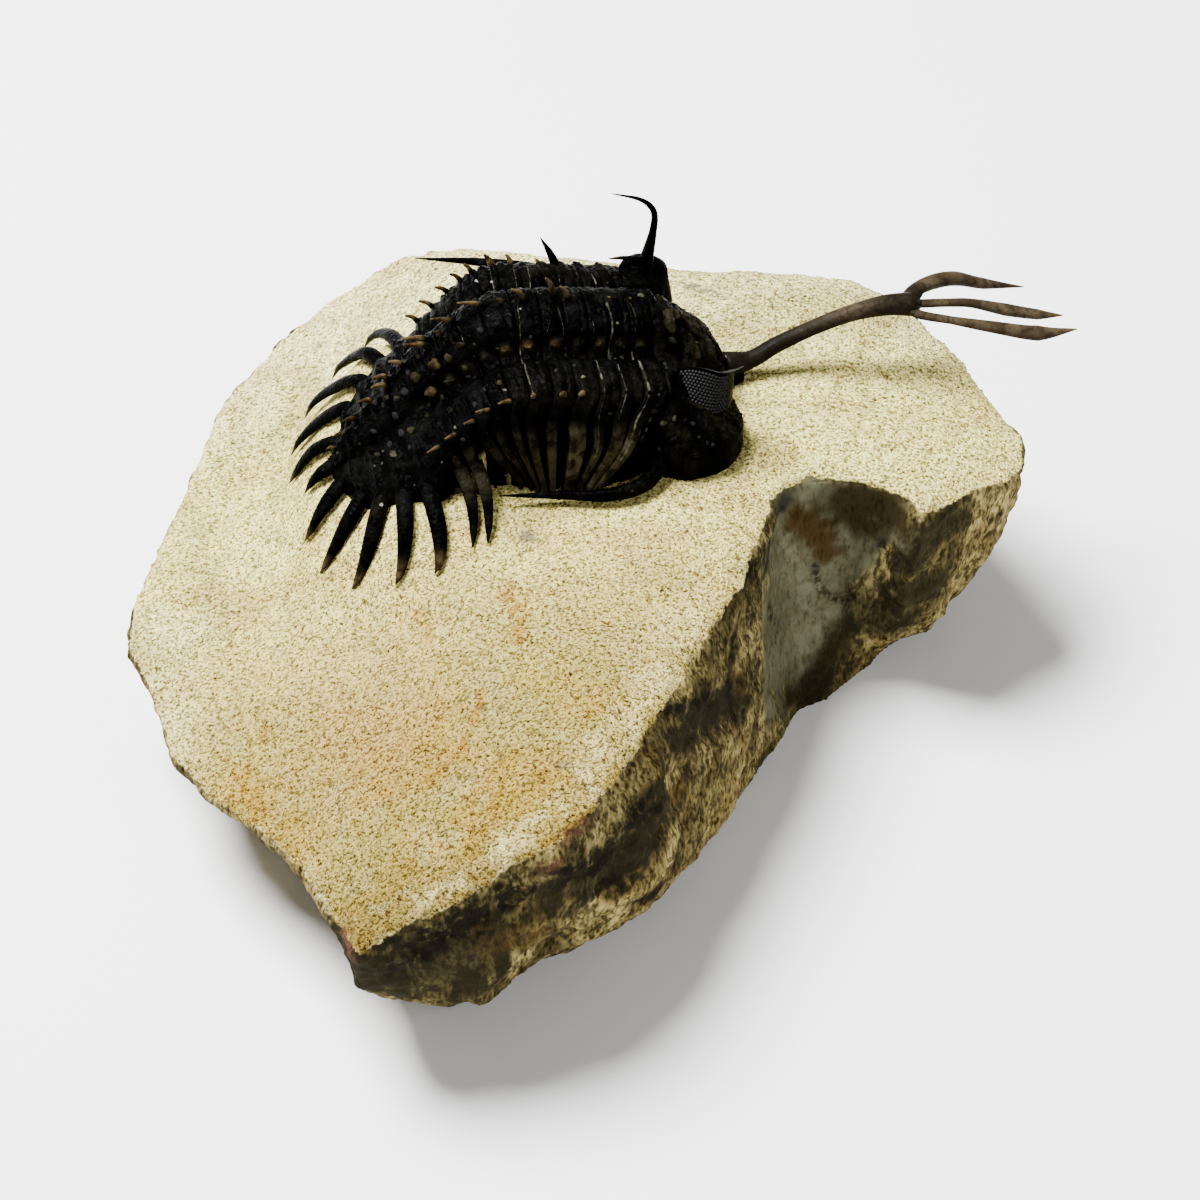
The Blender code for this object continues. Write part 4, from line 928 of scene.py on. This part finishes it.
def stone_masks(piece):
    """Where the stone is prepared, broken, scooped, stained and painted with shade, for its shape and its
    colours.
    """
    marks = [(name, half, [Vector(p if len(p) > 2 else (*p, ground(*p))) for p in run])
             for name, half, run in MARKS]
    masks = {name: [] for name in MASKS + ("broken", "shoulder")}
    for co, up in [(v.co.copy(), v.normal.z) for v in piece.data.vertices]:
        x, y, z = co
        depth = ground(x, y) - z
        wander = noise.noise(co * 0.35)
        worked = smooth_step((up - 0.42) / 0.3) * smooth_step((2.3 + 1.1 * wander - depth) / 1.2)
        inside = smooth_step((25.0 - math.hypot(x + 18.0, y - 24.0)) / 5.0)
        worked = max(worked, inside * smooth_step((7.0 - depth) / 1.5))
        base = smooth_step((0.8 - z) / 0.6) if up < -0.5 else 0.0
        middle, half = 19.2 + (z - 4.0) * 0.28, 3.4 + (z - 4.0) * 0.21
        scoop = (smooth_step((half + 1.2 - abs(x - middle) + 2.4 * wander) / 2.2) * (1.0 - worked)
                 * smooth_step((y - 4.0) / 3.0) * smooth_step((32.0 - y) / 4.0)
                 * smooth_step((z - 2.0 + 4.0 * wander) / 4.0))
        values = {"worked": worked, "scoop": scoop, "ochre": smooth_step((23.0 - y) / 44.0),
                  "corner": smooth_step((-25.0 - y) / 10.0),
                  "pale": max(smooth_step((y - 30.0) / 20.0), 0.7 * smooth_step((-37.0 - x) / 9.0)
                              * smooth_step((16.0 - y) / 8.0)),
                  "pink": hump(math.hypot(x + 22.0, y + 11.0), 0.0, 15.0),
                  "broken": (1.0 - worked) * (1.0 - scoop) * (1.0 - base),
                  "rim": hump(worked, 0.5, 0.5) * (1.0 - scoop),
                  "shoulder": smooth_step((5.5 - depth) / 3.0)}
        for name, half, run in marks:
            if abs(x - run[0].x) < 13.0 and abs(y - run[0].y) < 13.0:
                near = smooth_step(1.4 - distance_to_run(co, run) / half + 0.5 * noise.noise(co * 0.9))
                values[name] = max(values.get(name, 0.0), near)
        for name in masks:
            masks[name].append(values.get(name, 0.0))
    return masks


def weight(piece, name, values):
    group = piece.vertex_groups.new(name=name)
    for i, value in enumerate(values):
        if value > 0.01:
            group.add([i], min(value, 1.0), "REPLACE")


def roughen(piece, name, group, size, strength, kind="CLOUDS", depth=3):
    """Pushes the surface in and out with a noise, where the group says."""
    texture = bpy.data.textures.new(name, kind)
    texture.noise_scale = size
    if kind == "CLOUDS":
        texture.noise_depth = depth
    displace = piece.modifiers.new(name, "DISPLACE")
    displace.texture = texture
    displace.texture_coords = "LOCAL"
    displace.strength = strength
    displace.mid_level = 0.5
    displace.vertex_group = group
    take(piece)
    bpy.ops.object.modifier_apply(modifier=displace.name)


def make_stone():
    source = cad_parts["matrix_stone"]
    stone = bpy.data.objects.new("stone", source.data.copy())
    bpy.context.collection.objects.link(stone)
    stone.data.transform(Matrix.Scale(1.0 / MM, 4))
    take(stone)
    bpy.ops.object.mode_set(mode="EDIT")
    bpy.ops.mesh.select_all(action="SELECT")
    bpy.ops.mesh.remove_doubles(threshold=0.01)
    bpy.ops.object.mode_set(mode="OBJECT")
    remesh = stone.modifiers.new("remesh", "REMESH")
    remesh.mode = "VOXEL"
    remesh.voxel_size = STONE_VOXEL
    bpy.ops.object.modifier_apply(modifier="remesh")
    smooth = stone.modifiers.new("smooth", "SMOOTH")
    smooth.factor = 0.5
    smooth.iterations = 10
    bpy.ops.object.modifier_apply(modifier="smooth")
    weight(stone, "shoulder area", stone_masks(stone)["shoulder"])
    smooth = stone.modifiers.new("round shoulder", "SMOOTH")
    smooth.factor = 0.5
    smooth.iterations = 30
    smooth.vertex_group = "shoulder area"
    bpy.ops.object.modifier_apply(modifier="round shoulder")
    masks = stone_masks(stone)
    for name in ("worked", "broken", "rim", "scoop"):
        weight(stone, name + " area", masks[name])
    roughen(stone, "side lumps", "broken area", 6.5, 1.7)
    roughen(stone, "side breaks", "broken area", 2.4, 1.0)
    roughen(stone, "side grain", "broken area", 0.9, 0.35)
    roughen(stone, "scoop ripples", "scoop area", 5.0, 0.5)
    roughen(stone, "top swell", "worked area", 8.0, 0.6, depth=1)
    roughen(stone, "top grain", "worked area", 0.9, 0.3)
    roughen(stone, "chipped rim", "rim area", 1.5, 1.1)
    for name in MASKS:
        paint(stone, name, masks[name])
    low, high = (Vector(corner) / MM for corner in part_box("matrix_stone"))
    places = []
    for place, up in [(v.co.copy(), v.normal.z) for v in stone.data.vertices]:
        flat = place.z < 0.5 and up < -0.5
        places += [min(max(place.x, low.x + BOX_MARGIN), high.x - BOX_MARGIN),
                   min(max(place.y, low.y + BOX_MARGIN), high.y - BOX_MARGIN),
                   BOX_MARGIN if flat else min(max(place.z, BOX_MARGIN), high.z - BOX_MARGIN)]
    stone.data.vertices.foreach_set("co", places)
    stone.data.update()
    decimate = stone.modifiers.new("decimate", "DECIMATE")
    decimate.ratio = min(1.0, STONE_TRIANGLES / (2.0 * len(stone.data.polygons)))
    take(stone)
    bpy.ops.object.modifier_apply(modifier="decimate")
    stone.vertex_groups.clear()
    finish_piece("stone", [stone], LIMESTONE, "limestone", "matrix_stone")


# The body rings


def ring_section(number, u, side):
    """One ring's points from the crest to the rib tip; its outer rib keeps its own run and narrows."""
    start, end = RING_ENDS[number - 1:number + 1]
    middle = (start + end) / 2
    points = half_section(mix(start, end, u), side)
    centre = half_section(middle, side)
    near = half_section(middle, -1)
    forward = heading(yaw_at(middle))[0]
    spread = points[5] - centre[5]
    for k, width in enumerate((0.92, 0.8, 0.55)):
        shift = (RIB_RUN[number - 1][k] - near[6 + k].x) / forward.x
        points[6 + k] = centre[6 + k] + forward * shift + spread * width
    return points


def ring_relief(number, u, s):
    """How far the ring's surface stands out, and how much of it is the rib's raised panel."""
    tucked = -0.5 * smooth_step((0.07 - u) / 0.14)
    edge = -0.22 * smooth_step((u - 0.93) / 0.07)
    round_over = math.sin(math.pi * min(max(u, 0.0), 1.0))
    band = 0.12 * round_over - 0.12 * hump(u, 0.28, 0.12)
    rib = 0.10 * round_over - 0.10 * hump(u, 0.42, 0.18)
    flank = smooth_step((s - 5.15) / 0.9)
    share = along(RIB_RUN[number - 1][3:], (s - 5.5) / 2.0)
    panel = smooth_step((u - (0.98 - share)) / 0.1 + 0.5) * smooth_step((1.0 - u) / 0.05)
    outer = mix(-0.75, 0.12, panel) + 0.12 * hump(u, 0.98 - share / 2, share / 2)
    height = mix(mix(band, rib, smooth_step((s - 3.0) / 0.6)), outer, flank)
    height -= 0.5 * hump(s, 3.35, 0.42)
    at, tan = KNOBS[number - 1]
    height += mix(0.42, 0.62, tan) * hump(s, 2.7, 0.5) * hump(u, at, 0.42)
    height += 0.22 * hump(s, 4.95, 0.4) * hump(u, 0.7, 0.28)
    return height + tucked + edge, panel * flank


def granules(p, size):
    """Separate low bumps scattered over a shell."""
    return 0.9 * max(0.0, noise.noise(p * size + Vector((7.0, 3.0, 1.0))) - 0.22)


def distance_to_run(point, run):
    """How far a point is from a line through the listed places."""
    best = 100.0
    for a, b in zip(run, run[1:]):
        step = b - a
        share = min(max((point - a).dot(step) / step.length_squared, 0.0), 1.0)
        best = min(best, (point - a - step * share).length)
    return best


def seam_strength(number, side, u, s, length):
    """1 in the middle of a calcite seam, falling away from it; the material cuts it sharp."""
    best = 0.0
    for ring, on, width, run in SEAMS:
        if ring == number and on == side:
            run = [Vector((a * length, b * 2.7, 0.0)) for a, b in run]
            best = max(best, 1.0 - distance_to_run(Vector((u * length, s * 2.7, 0.0)), run) / (width * 6.0))
    return best


def rib_blade(number, side, forward, left):
    """The free spine that a rear ring's rib runs out into."""
    tip = ring_section(number, 0.6, side)[7]
    path = [tip]
    for share, bow in ((0.3, 0.5), (0.55, 0.6), (0.8, 0.35), (1.0, 0.0)):
        p = tip + left * side * BLADE_REACH * share + forward * bow
        p.z = max(tip.z - 5.0 * share ** 1.3, ground(p.x, p.y) + 0.85 - 0.4 * share)
        path.append(p)
    blade = grow(path, (0.8, 0.72, 0.56, 0.38, 0.06), depth=0.6, sides=4)
    reach = (path[-1] - tip).length
    paint(blade, "brown", [0.2 * smooth_step((0.6 - (v.co - tip).length / reach) / 0.3)
                           for v in blade.data.vertices])
    return blade


def make_ring(number):
    start, end = RING_ENDS[number - 1:number + 1]
    length = (curve_at(CREST, end) - curve_at(CREST, start)).length
    across, half_columns = 26, 88
    rows, heights, masks = [], [], {"tan": [], "brown": [], "vein": [], "matrix": []}
    for i in range(across + 1):
        u = mix(-0.08, 1.0, i / across)
        sections = {side: ring_section(number, u, side) for side in (-1, 1)}
        row = []
        for j in range(-half_columns, half_columns + 1):
            side = 1 if j >= 0 else -1
            s = abs(j) / half_columns * 8.0
            p = curve_at(sections[side], s)
            row.append(p)
            height, panel = ring_relief(number, u, s)
            grain = 0.10 * noise.noise(p * 1.1) + 0.07 * noise.noise(p * 2.4) + 0.035 * noise.noise(p * 5.0)
            heights.append(height + grain + 0.6 * granules(p, 1.5) * smooth_step((start - 4.5) / 4.0 + 0.35))
            at, tan = KNOBS[number - 1]
            masks["tan"].append(tan * hump(s, 2.7, 0.42) * hump(u, at, 0.36) * 1.3 if tan > 0.5 else 0.0)
            front_flank = 0.07 * smooth_step((7.5 - number) / 2.0) * hump(s, 5.0, 1.4)
            olive = max(0.4 * hump(s, 2.7, 0.5) * hump(u, at, 0.4),
                        front_flank * (0.7 + noise.noise(p * 0.6)))
            masks["brown"].append(max(panel * RIB_TONE[number - 1] * smooth_step((s - 6.0) / 0.7), olive))
            masks["vein"].append(seam_strength(number, side, u, s, length))
            open_rib = 1.0 if number in (8, 9, 10) and side < 0 else 0.0
            masks["matrix"].append(open_rib * smooth_step((s - 6.9) / 0.4)
                                   * smooth_step((0.25 - panel) / 0.2))
        rows.append(row)
    ring = lay_grid("ring", rows)
    raise_relief(ring, heights)
    for name, values in masks.items():
        paint(ring, name, values)
    close_down(ring)
    parts = [ring]
    t, back, up, size = CREST_SPINES[number - 1]
    forward, left = heading(yaw_at(t))
    root = body_point(t, 0.0, 1)
    for shift in ((-0.5, 0.5) if number == 10 else (0.0,)):
        start_at = root + left * shift
        parts.append(grow([start_at - Vector((0, 0, 0.3)),
                           start_at - forward * back * 0.4 + Vector((0, 0, up * 0.62)),
                           start_at - forward * back + Vector((0, 0, up))],
                          (size * 1.25, size * 0.8, size * 0.3), tip_from=0.25))
    for side, table in ((-1, NEAR_HINGES), (1, FAR_HINGES)):
        t, back, out, up, size, tan_from = table[number - 1]
        root = body_point(t, 5.0, side)
        reach = left * side * out + Vector((0, 0, up)) - forward * back
        inner = root - left * side * 0.2 - Vector((0, 0, 0.2))
        parts.append(grow([inner, root + reach * 0.45 + Vector((0, 0, 0.12)), root + reach],
                          (size * 1.2, size * 0.75, 0.05 if tan_from > 1.0 else size * 0.4),
                          tip_from=tan_from))
        if number >= FIRST_BLADED_RING:
            parts.append(rib_blade(number, side, forward, left))
    parts += nodules(f"ring_{number:02d}", ring)
    name = f"thoracic_segment_{number:02d}"
    finish_piece(f"ring_{number:02d}", parts, BLACK_SHELL, "black_shell", name)


# The tail shield

def claw_places():
    forward, left = heading(math.radians(10.0))
    origin = curve_at(CREST, RINGS)
    places = []
    for side in (-1, 1):
        for (root, reach), at in zip(TAIL_CLAWS, TAIL_CREST_AT):
            if side == 1 and root[0] == 0:
                continue
            p = origin - forward * root[1] + left * root[0] * side
            places.append((Vector((p.x, p.y, root[2])), reach, at, side))
    near = [p for p in places if p[3] < 0]
    far = [p for p in places if p[3] > 0][::-1]
    return near + far


def make_tail():
    order = claw_places()
    half = CLAW_WIDTH / 2
    edges, crests = [], []
    for i, (here, reach, at, side) in enumerate(order):
        run = (order[min(i + 1, len(order) - 1)][0] - order[max(i - 1, 0)][0]).normalized()
        for edge in (-half, half):
            edges.append(here + run * edge)
            crests.append(at)
    rows, heights = [], []
    first = {side: [body_point(RINGS - 0.15, 8.0 * j / TAIL_COLUMNS, side) for j in range(TAIL_COLUMNS + 1)]
             for side in (-1, 1)}
    steps = 6
    count = (len(edges) - 1) * steps
    for i in range(-steps, count + steps + 1):
        q = i / steps
        inner = min(max(q, 0.0), len(edges) - 1.0)
        crest = curve_at(CREST, along(crests, inner))
        edge = curve_at(edges, inner)
        blend_in = min(max(-q, q - (len(edges) - 1), 0.0), 1.0)
        side = -1 if q < len(edges) / 2 else 1
        row = []
        for j in range(TAIL_COLUMNS + 1):
            share, height = curve_at([(a, b, 0.0) for a, b in TAIL_ROW], 8.0 * j / TAIL_COLUMNS)[:2]
            p = Vector((mix(crest.x, edge.x, share), mix(crest.y, edge.y, share),
                        mix(edge.z, crest.z, height)))
            if blend_in > 0.0:
                p = p.lerp(first[side][j], blend_in)
            row.append(p)
            rib = 0.5 + 0.5 * math.cos(math.pi * (q - 0.5))
            outer = smooth_step((share - 0.34) / 0.1) * smooth_step((1.02 - share) / 0.1)
            axis = smooth_step((0.3 - share) / 0.06) * smooth_step(share / 0.04)
            ring = math.cos(2 * math.pi * along(crests, inner) * 1.7)
            h = outer * (rib - 0.5) * 0.5 + axis * ring * 0.16 - 0.35 * hump(share, 0.33, 0.05)
            h += 0.12 * noise.noise(p * 3.0) + granules(p, 1.25) * smooth_step((1.0 - share) / 0.3)
            heights.append(h * (1.0 - blend_in) - 0.45 * smooth_step(blend_in * 1.5 - 0.5))
        rows.append(row)
    tail = lay_grid("tail", rows)
    raise_relief(tail, heights)
    close_down(tail)
    parts = [tail]
    swept, spread = heading(math.radians(CLAW_YAW))
    for here, reach, at, side in order:
        path = [here - (spread * reach[0] * side - swept * reach[1]).normalized() * 1.2
                + Vector((0, 0, 0.3))]
        for share in (0.0, 0.2, 0.4, 0.6, 0.8, 1.0):
            away = 1.0 - (1.0 - share) ** 1.7
            bow = swept * CLAW_BOW * math.sin(math.pi * share)
            p = here + (spread * reach[0] * side - swept * reach[1]) * away + bow
            z = here.z - reach[2] * share ** 1.25
            path.append(Vector((p.x, p.y, max(z, ground(p.x, p.y) + 1.0 - 0.45 * share))))
        parts.append(grow(path, (0.75, 0.92, 0.92, 0.84, 0.68, 0.45, 0.06), depth=0.7, tip_from=0.74,
                          sides=4))
    for t, aside, back, up, size in ((11.8, 0.5, 1.9, 0.5, 0.36), (11.95, -0.4, 1.9, 0.3, 0.36),
                                     (12.9, 0.0, 1.9, 0.3, 0.32), (13.9, 0.0, 1.6, 0.2, 0.3),
                                     (14.8, 0.0, 1.2, 0.2, 0.26), (15.6, 0.0, 1.0, 0.2, 0.24)):
        forward, left = heading(yaw_at(min(t, 17.0)))
        root = curve_at(CREST, t) + left * aside
        parts.append(grow([root - Vector((0, 0, 0.4)), root - forward * back * 0.4 + Vector((0, 0, 0.4)),
                           root - forward * back + Vector((0, 0, up * 0.5))],
                          (size * 1.2, size * 0.85, size * 0.35), tip_from=0.25))
    parts += nodules("tail_shield", tail)
    finish_piece("tail_shield", parts, BLACK_SHELL, "black_shell", "pygidium")


# The head

HEAD_FORWARD, HEAD_LEFT = heading(math.radians(HEAD_YAW))
HEAD_ORIGIN = Vector(CREST[0])


def head_place(ahead, sideways, z):
    p = HEAD_ORIGIN + HEAD_FORWARD * ahead + HEAD_LEFT * sideways
    return Vector((p.x, p.y, z))


def head_height(ahead, sideways):
    """The head's surface: flat-topped cheeks with steep edges, and the swollen middle lobe on them."""
    to_front = 1.0 - min(max(ahead, 0.0) / HEAD_LENGTH, 1.0) ** 3
    to_side = 1.0 - min(abs(sideways) / HEAD_HALF, 1.0) ** 3.5
    cheeks = (8.4 - 0.65 * max(ahead, 0.0)) * (to_front * to_side) ** 0.8
    half = mix(4.2, 4.7, smooth_step(ahead / 7.0))
    half = mix(half, 1.5, smooth_step((ahead - 7.4) / 2.0))
    lobe = 0.0
    if abs(sideways) < half:
        swell = mix(3.8, 4.5, smooth_step(ahead / 6.0)) * mix(1.0, 0.45, smooth_step((ahead - 6.6) / 2.8))
        lobe = swell * (1.0 - (sideways / half) ** 2) ** 0.7
    return 30.8 + cheeks + lobe


def head_relief(ahead, sideways):
    """Neck ring, the middle lobe's furrows, the cheeks' rough grain, and the near eye's hollow."""
    p = Vector((ahead, sideways, 0.0))
    lobe = smooth_step((4.6 - abs(sideways)) / 0.8)
    h = -0.5 * lobe * hump(ahead, 1.5, 0.55) - 0.35 * lobe * hump(ahead + 0.12 * abs(sideways), 3.2, 0.45)
    h -= 0.3 * lobe * hump(ahead + 0.2 * abs(sideways), 5.2, 0.45)
    h += (0.2 * noise.noise(p * 1.1) + 0.16 * noise.noise(p * 2.4)) * mix(1.0, 0.7, lobe)
    h += 0.10 * noise.noise(p * 4.6) + granules(p, 1.1) * mix(1.0, 0.5, lobe)
    h -= 1.3 * hump(math.hypot(ahead - 1.1, sideways + 9.7), 0.0, 2.6)
    return h


def make_head():
    columns = []
    for side in (-1, 1):
        section = half_section(-0.09, side)
        corner = head_place(GENAL_CORNER[0], GENAL_CORNER[1] * side, 31.3)
        upper = section[5].lerp(corner, 0.55)
        upper.z = mix(section[5].z, corner.z, 0.3)
        lower = section[5].lerp(corner, 0.88)
        lower.z = mix(section[5].z, corner.z, 0.66)
        columns.append(section[:6] + [upper, lower, corner])
    rear = columns[0][::-1] + columns[1][1:]
    edge = [(f, side * l, 0.0) for side, points in ((-1, HEAD_EDGE[:0:-1]), (1, HEAD_EDGE))
            for f, l in points]
    rows, heights, browns = [], [], []
    lengthwise, sideways_count = 110, 190
    marks = [(kind, half, [Vector(p) for p in run]) for kind, half, run in HEAD_MARKS]
    for i in range(lengthwise + 1):
        share = 1.0 - (1.0 - i / lengthwise) ** 1.5
        row = []
        for j in range(sideways_count + 1):
            c = 16.0 * j / sideways_count
            p = curve_at(rear, c)
            front = curve_at(edge, c)
            d = p - HEAD_ORIGIN
            ahead = mix(d.dot(HEAD_FORWARD), front.x, share)
            across = mix(d.dot(HEAD_LEFT), front.y, share)
            z = mix(p.z, head_height(ahead, across) - HEAD_ROLL * across, smooth_step(share / 0.3))
            spot = head_place(ahead, across, max(z, 30.9))
            row.append(spot)
            brown = 0.08 * smooth_step(noise.noise(Vector((ahead, across, 3.0)) * 0.5) * 3.0)
            furrow = 0.0
            for kind, half, run in marks:
                if abs(spot.x - run[0].x) < 5.0 and abs(spot.y - run[0].y) < 5.0:
                    away = distance_to_run(spot, run) / half
                    if kind == "furrow":
                        furrow = max(furrow, smooth_step(1.2 - away))
                    else:
                        brown = max(brown, HEAD_TONES[kind] * smooth_step((1.5 - away) / 1.1))
            heights.append(head_relief(ahead, across) * smooth_step(share / 0.08)
                           * smooth_step((1.0 - share) / 0.05) - 0.42 * furrow)
            browns.append(brown * (1.0 - furrow))
        rows.append(row)
    head = lay_grid("head", rows)
    raise_relief(head, heights)
    paint(head, "brown", browns)
    close_down(head)
    parts = [head]
    near_path = [head_place(-1.6, -12.4, 32.2), (4.6, 15.7, 31.3), (0.8, 14.2, 31.1), (-4.0, 14.2, 31.1),
                 (-10.4, 14.2, 31.0)]
    far_path = [head_place(-1.6, 12.4, 32.2), (-3.0, 45.2, 33.2), (-7.0, 47.0, 34.4), (-13.2, 47.7, 34.9),
                (-20.3, 47.5, 35.6)]
    for path in (near_path, far_path):
        parts.append(grow(path, (1.1, 0.85, 0.7, 0.5, 0.06), tip_from=0.93, steps=8, sides=4))
    brim_horn = [(5.3, 40.0, 41.1), (3.8, 39.9, 41.6), (2.2, 39.9, 41.7), (0.9, 40.0, 41.5)]
    parts.append(grow(brim_horn, (0.5, 0.36, 0.26, 0.08), depth=0.7, tip_from=0.7))
    horn = [(4.8, 40.0, 40.6), (5.0, 40.0, 41.8), (5.6, 40.2, 45.0), (5.75, 40.2, 47.2),
            (5.2, 40.2, 48.5), (3.9, 40.3, 49.3), (1.2, 40.4, 49.85)]
    parts.append(grow(horn, (1.2, 0.75, 0.42, 0.37, 0.32, 0.22, 0.05), steps=8, sides=4))
    for name in EYE_LOOPS:
        parts += make_eye(name)
    parts += nodules("head_shield", head)
    finish_piece("head_shield", parts, BLACK_SHELL, "black_shell", "cephalon")


def make_eye(name):
    """A wall of lenses leaning out under a thin brim."""
    loops = EYE_LOOPS[name]
    around = 64

    def surface(q, level):
        i = min(max(int(level), 0), len(loops) - 2)
        pair = []
        for loop in loops[i:i + 2]:
            run = [loop[(k - 1) % 8] for k in range(11)]
            pair.append(curve_at(run, q % 8.0 + 1.0))
        return head_place(*pair[0].lerp(pair[1], level - i))

    levels = [k / 8 for k in range(9)] + [1.0 + k / 3 for k in (1, 2, 3)] + [2.5, 3.0, 3.3, 3.6, 4.0]
    rows = [[surface(8.0 * i / around, level) for i in range(around + 1)] for level in levels]
    tower = lay_grid("eye", rows)
    paint(tower, "tan", [0.05 * hump(level, 2.0, 0.4) for level in levels for i in range(around + 1)])
    paint(tower, "grey", [0.06 * smooth_step((1.0 - level) / 0.1) for level in levels
                          for i in range(around + 1)])
    close_seams(tower)
    parts = [tower]
    bpy.ops.mesh.primitive_uv_sphere_add(segments=8, ring_count=5, radius=LENS_RADIUS)
    lens = bpy.context.object
    paint(lens, "grey", [1.0] * len(lens.data.vertices))
    first, last, files = EYE_FILES[name]
    for row in range(LENS_ROWS):
        for file in range(files):
            q = mix(first, last, (file + 0.5 * (row % 2)) / files)
            copy = lens.copy()
            copy.data = lens.data.copy()
            copy.data.transform(Matrix.Translation(surface(q, mix(0.16, 0.94, row / (LENS_ROWS - 1)))))
            bpy.context.collection.objects.link(copy)
            parts.append(copy)
    bpy.data.objects.remove(lens, do_unlink=True)
    return parts


def close_seams(piece):
    """Merges the seam of a tube, closes its ends and turns its faces outwards."""
    take(piece)
    bpy.ops.object.mode_set(mode="EDIT")
    bpy.ops.mesh.select_all(action="SELECT")
    bpy.ops.mesh.remove_doubles(threshold=MERGE_DISTANCE)
    bpy.ops.mesh.select_all(action="DESELECT")
    bpy.ops.mesh.select_non_manifold()
    bpy.ops.mesh.fill_holes(sides=0)
    bpy.ops.mesh.select_all(action="SELECT")
    bpy.ops.mesh.normals_make_consistent(inside=False)
    bpy.ops.object.mode_set(mode="OBJECT")


# The fork

def make_fork():
    neck = [head_place(9.0, 0.0, 31.9)] + [Vector(p) for p in SHAFT] + [Vector((34.6, 39.3, 35.95))]
    parts = [grow(neck, (1.6, 1.05, 0.98, 0.92, 1.0, 1.25, 1.45, 0.5), depth=0.85, steps=8, sides=5)]
    parts.append(grow([(31.5, 38.9, 36.4), (33.6, 39.9, 36.2), (34.6, 41.5, 36.3)], (0.8, 0.8, 0.7),
                      depth=0.75, steps=6, sides=4))
    # Dark: the shaft's own darker colour towards the head, and painted shade over the fork's thick end.
    for part in parts:
        paint(part, "dark", [max(smooth_step((30.0 - v.co.x) / 11.0),
                                 0.85 * smooth_step((v.co.x - 26.0) / 5.0))
                             for v in part.data.vertices])
    finish_piece("fork_shaft", parts, BROWN_SHELL, "brown_shell", "trident_shaft")
    for name, path in TINES.items():
        start = Vector(path[0]).lerp(Vector((32.6, 38.9, 36.2)), 0.8)
        tine = grow([start] + path, TINE_HALF[name], depth=0.7, tip_from=0.85, steps=8, sides=4)
        # Painted shade at the tines' roots, where they meet at the fork's thick end.
        paint(tine, "dark", [0.6 * smooth_step((36.5 - v.co.x) / 2.5) for v in tine.data.vertices])
        finish_piece(f"fork_tine_{name}", [tine], BROWN_SHELL, "brown_shell", f"trident_{name}_tine")


set_up_studio()
make_stone()
for ring_number in range(1, RINGS + 1):
    make_ring(ring_number)
make_tail()
make_head()
make_fork()
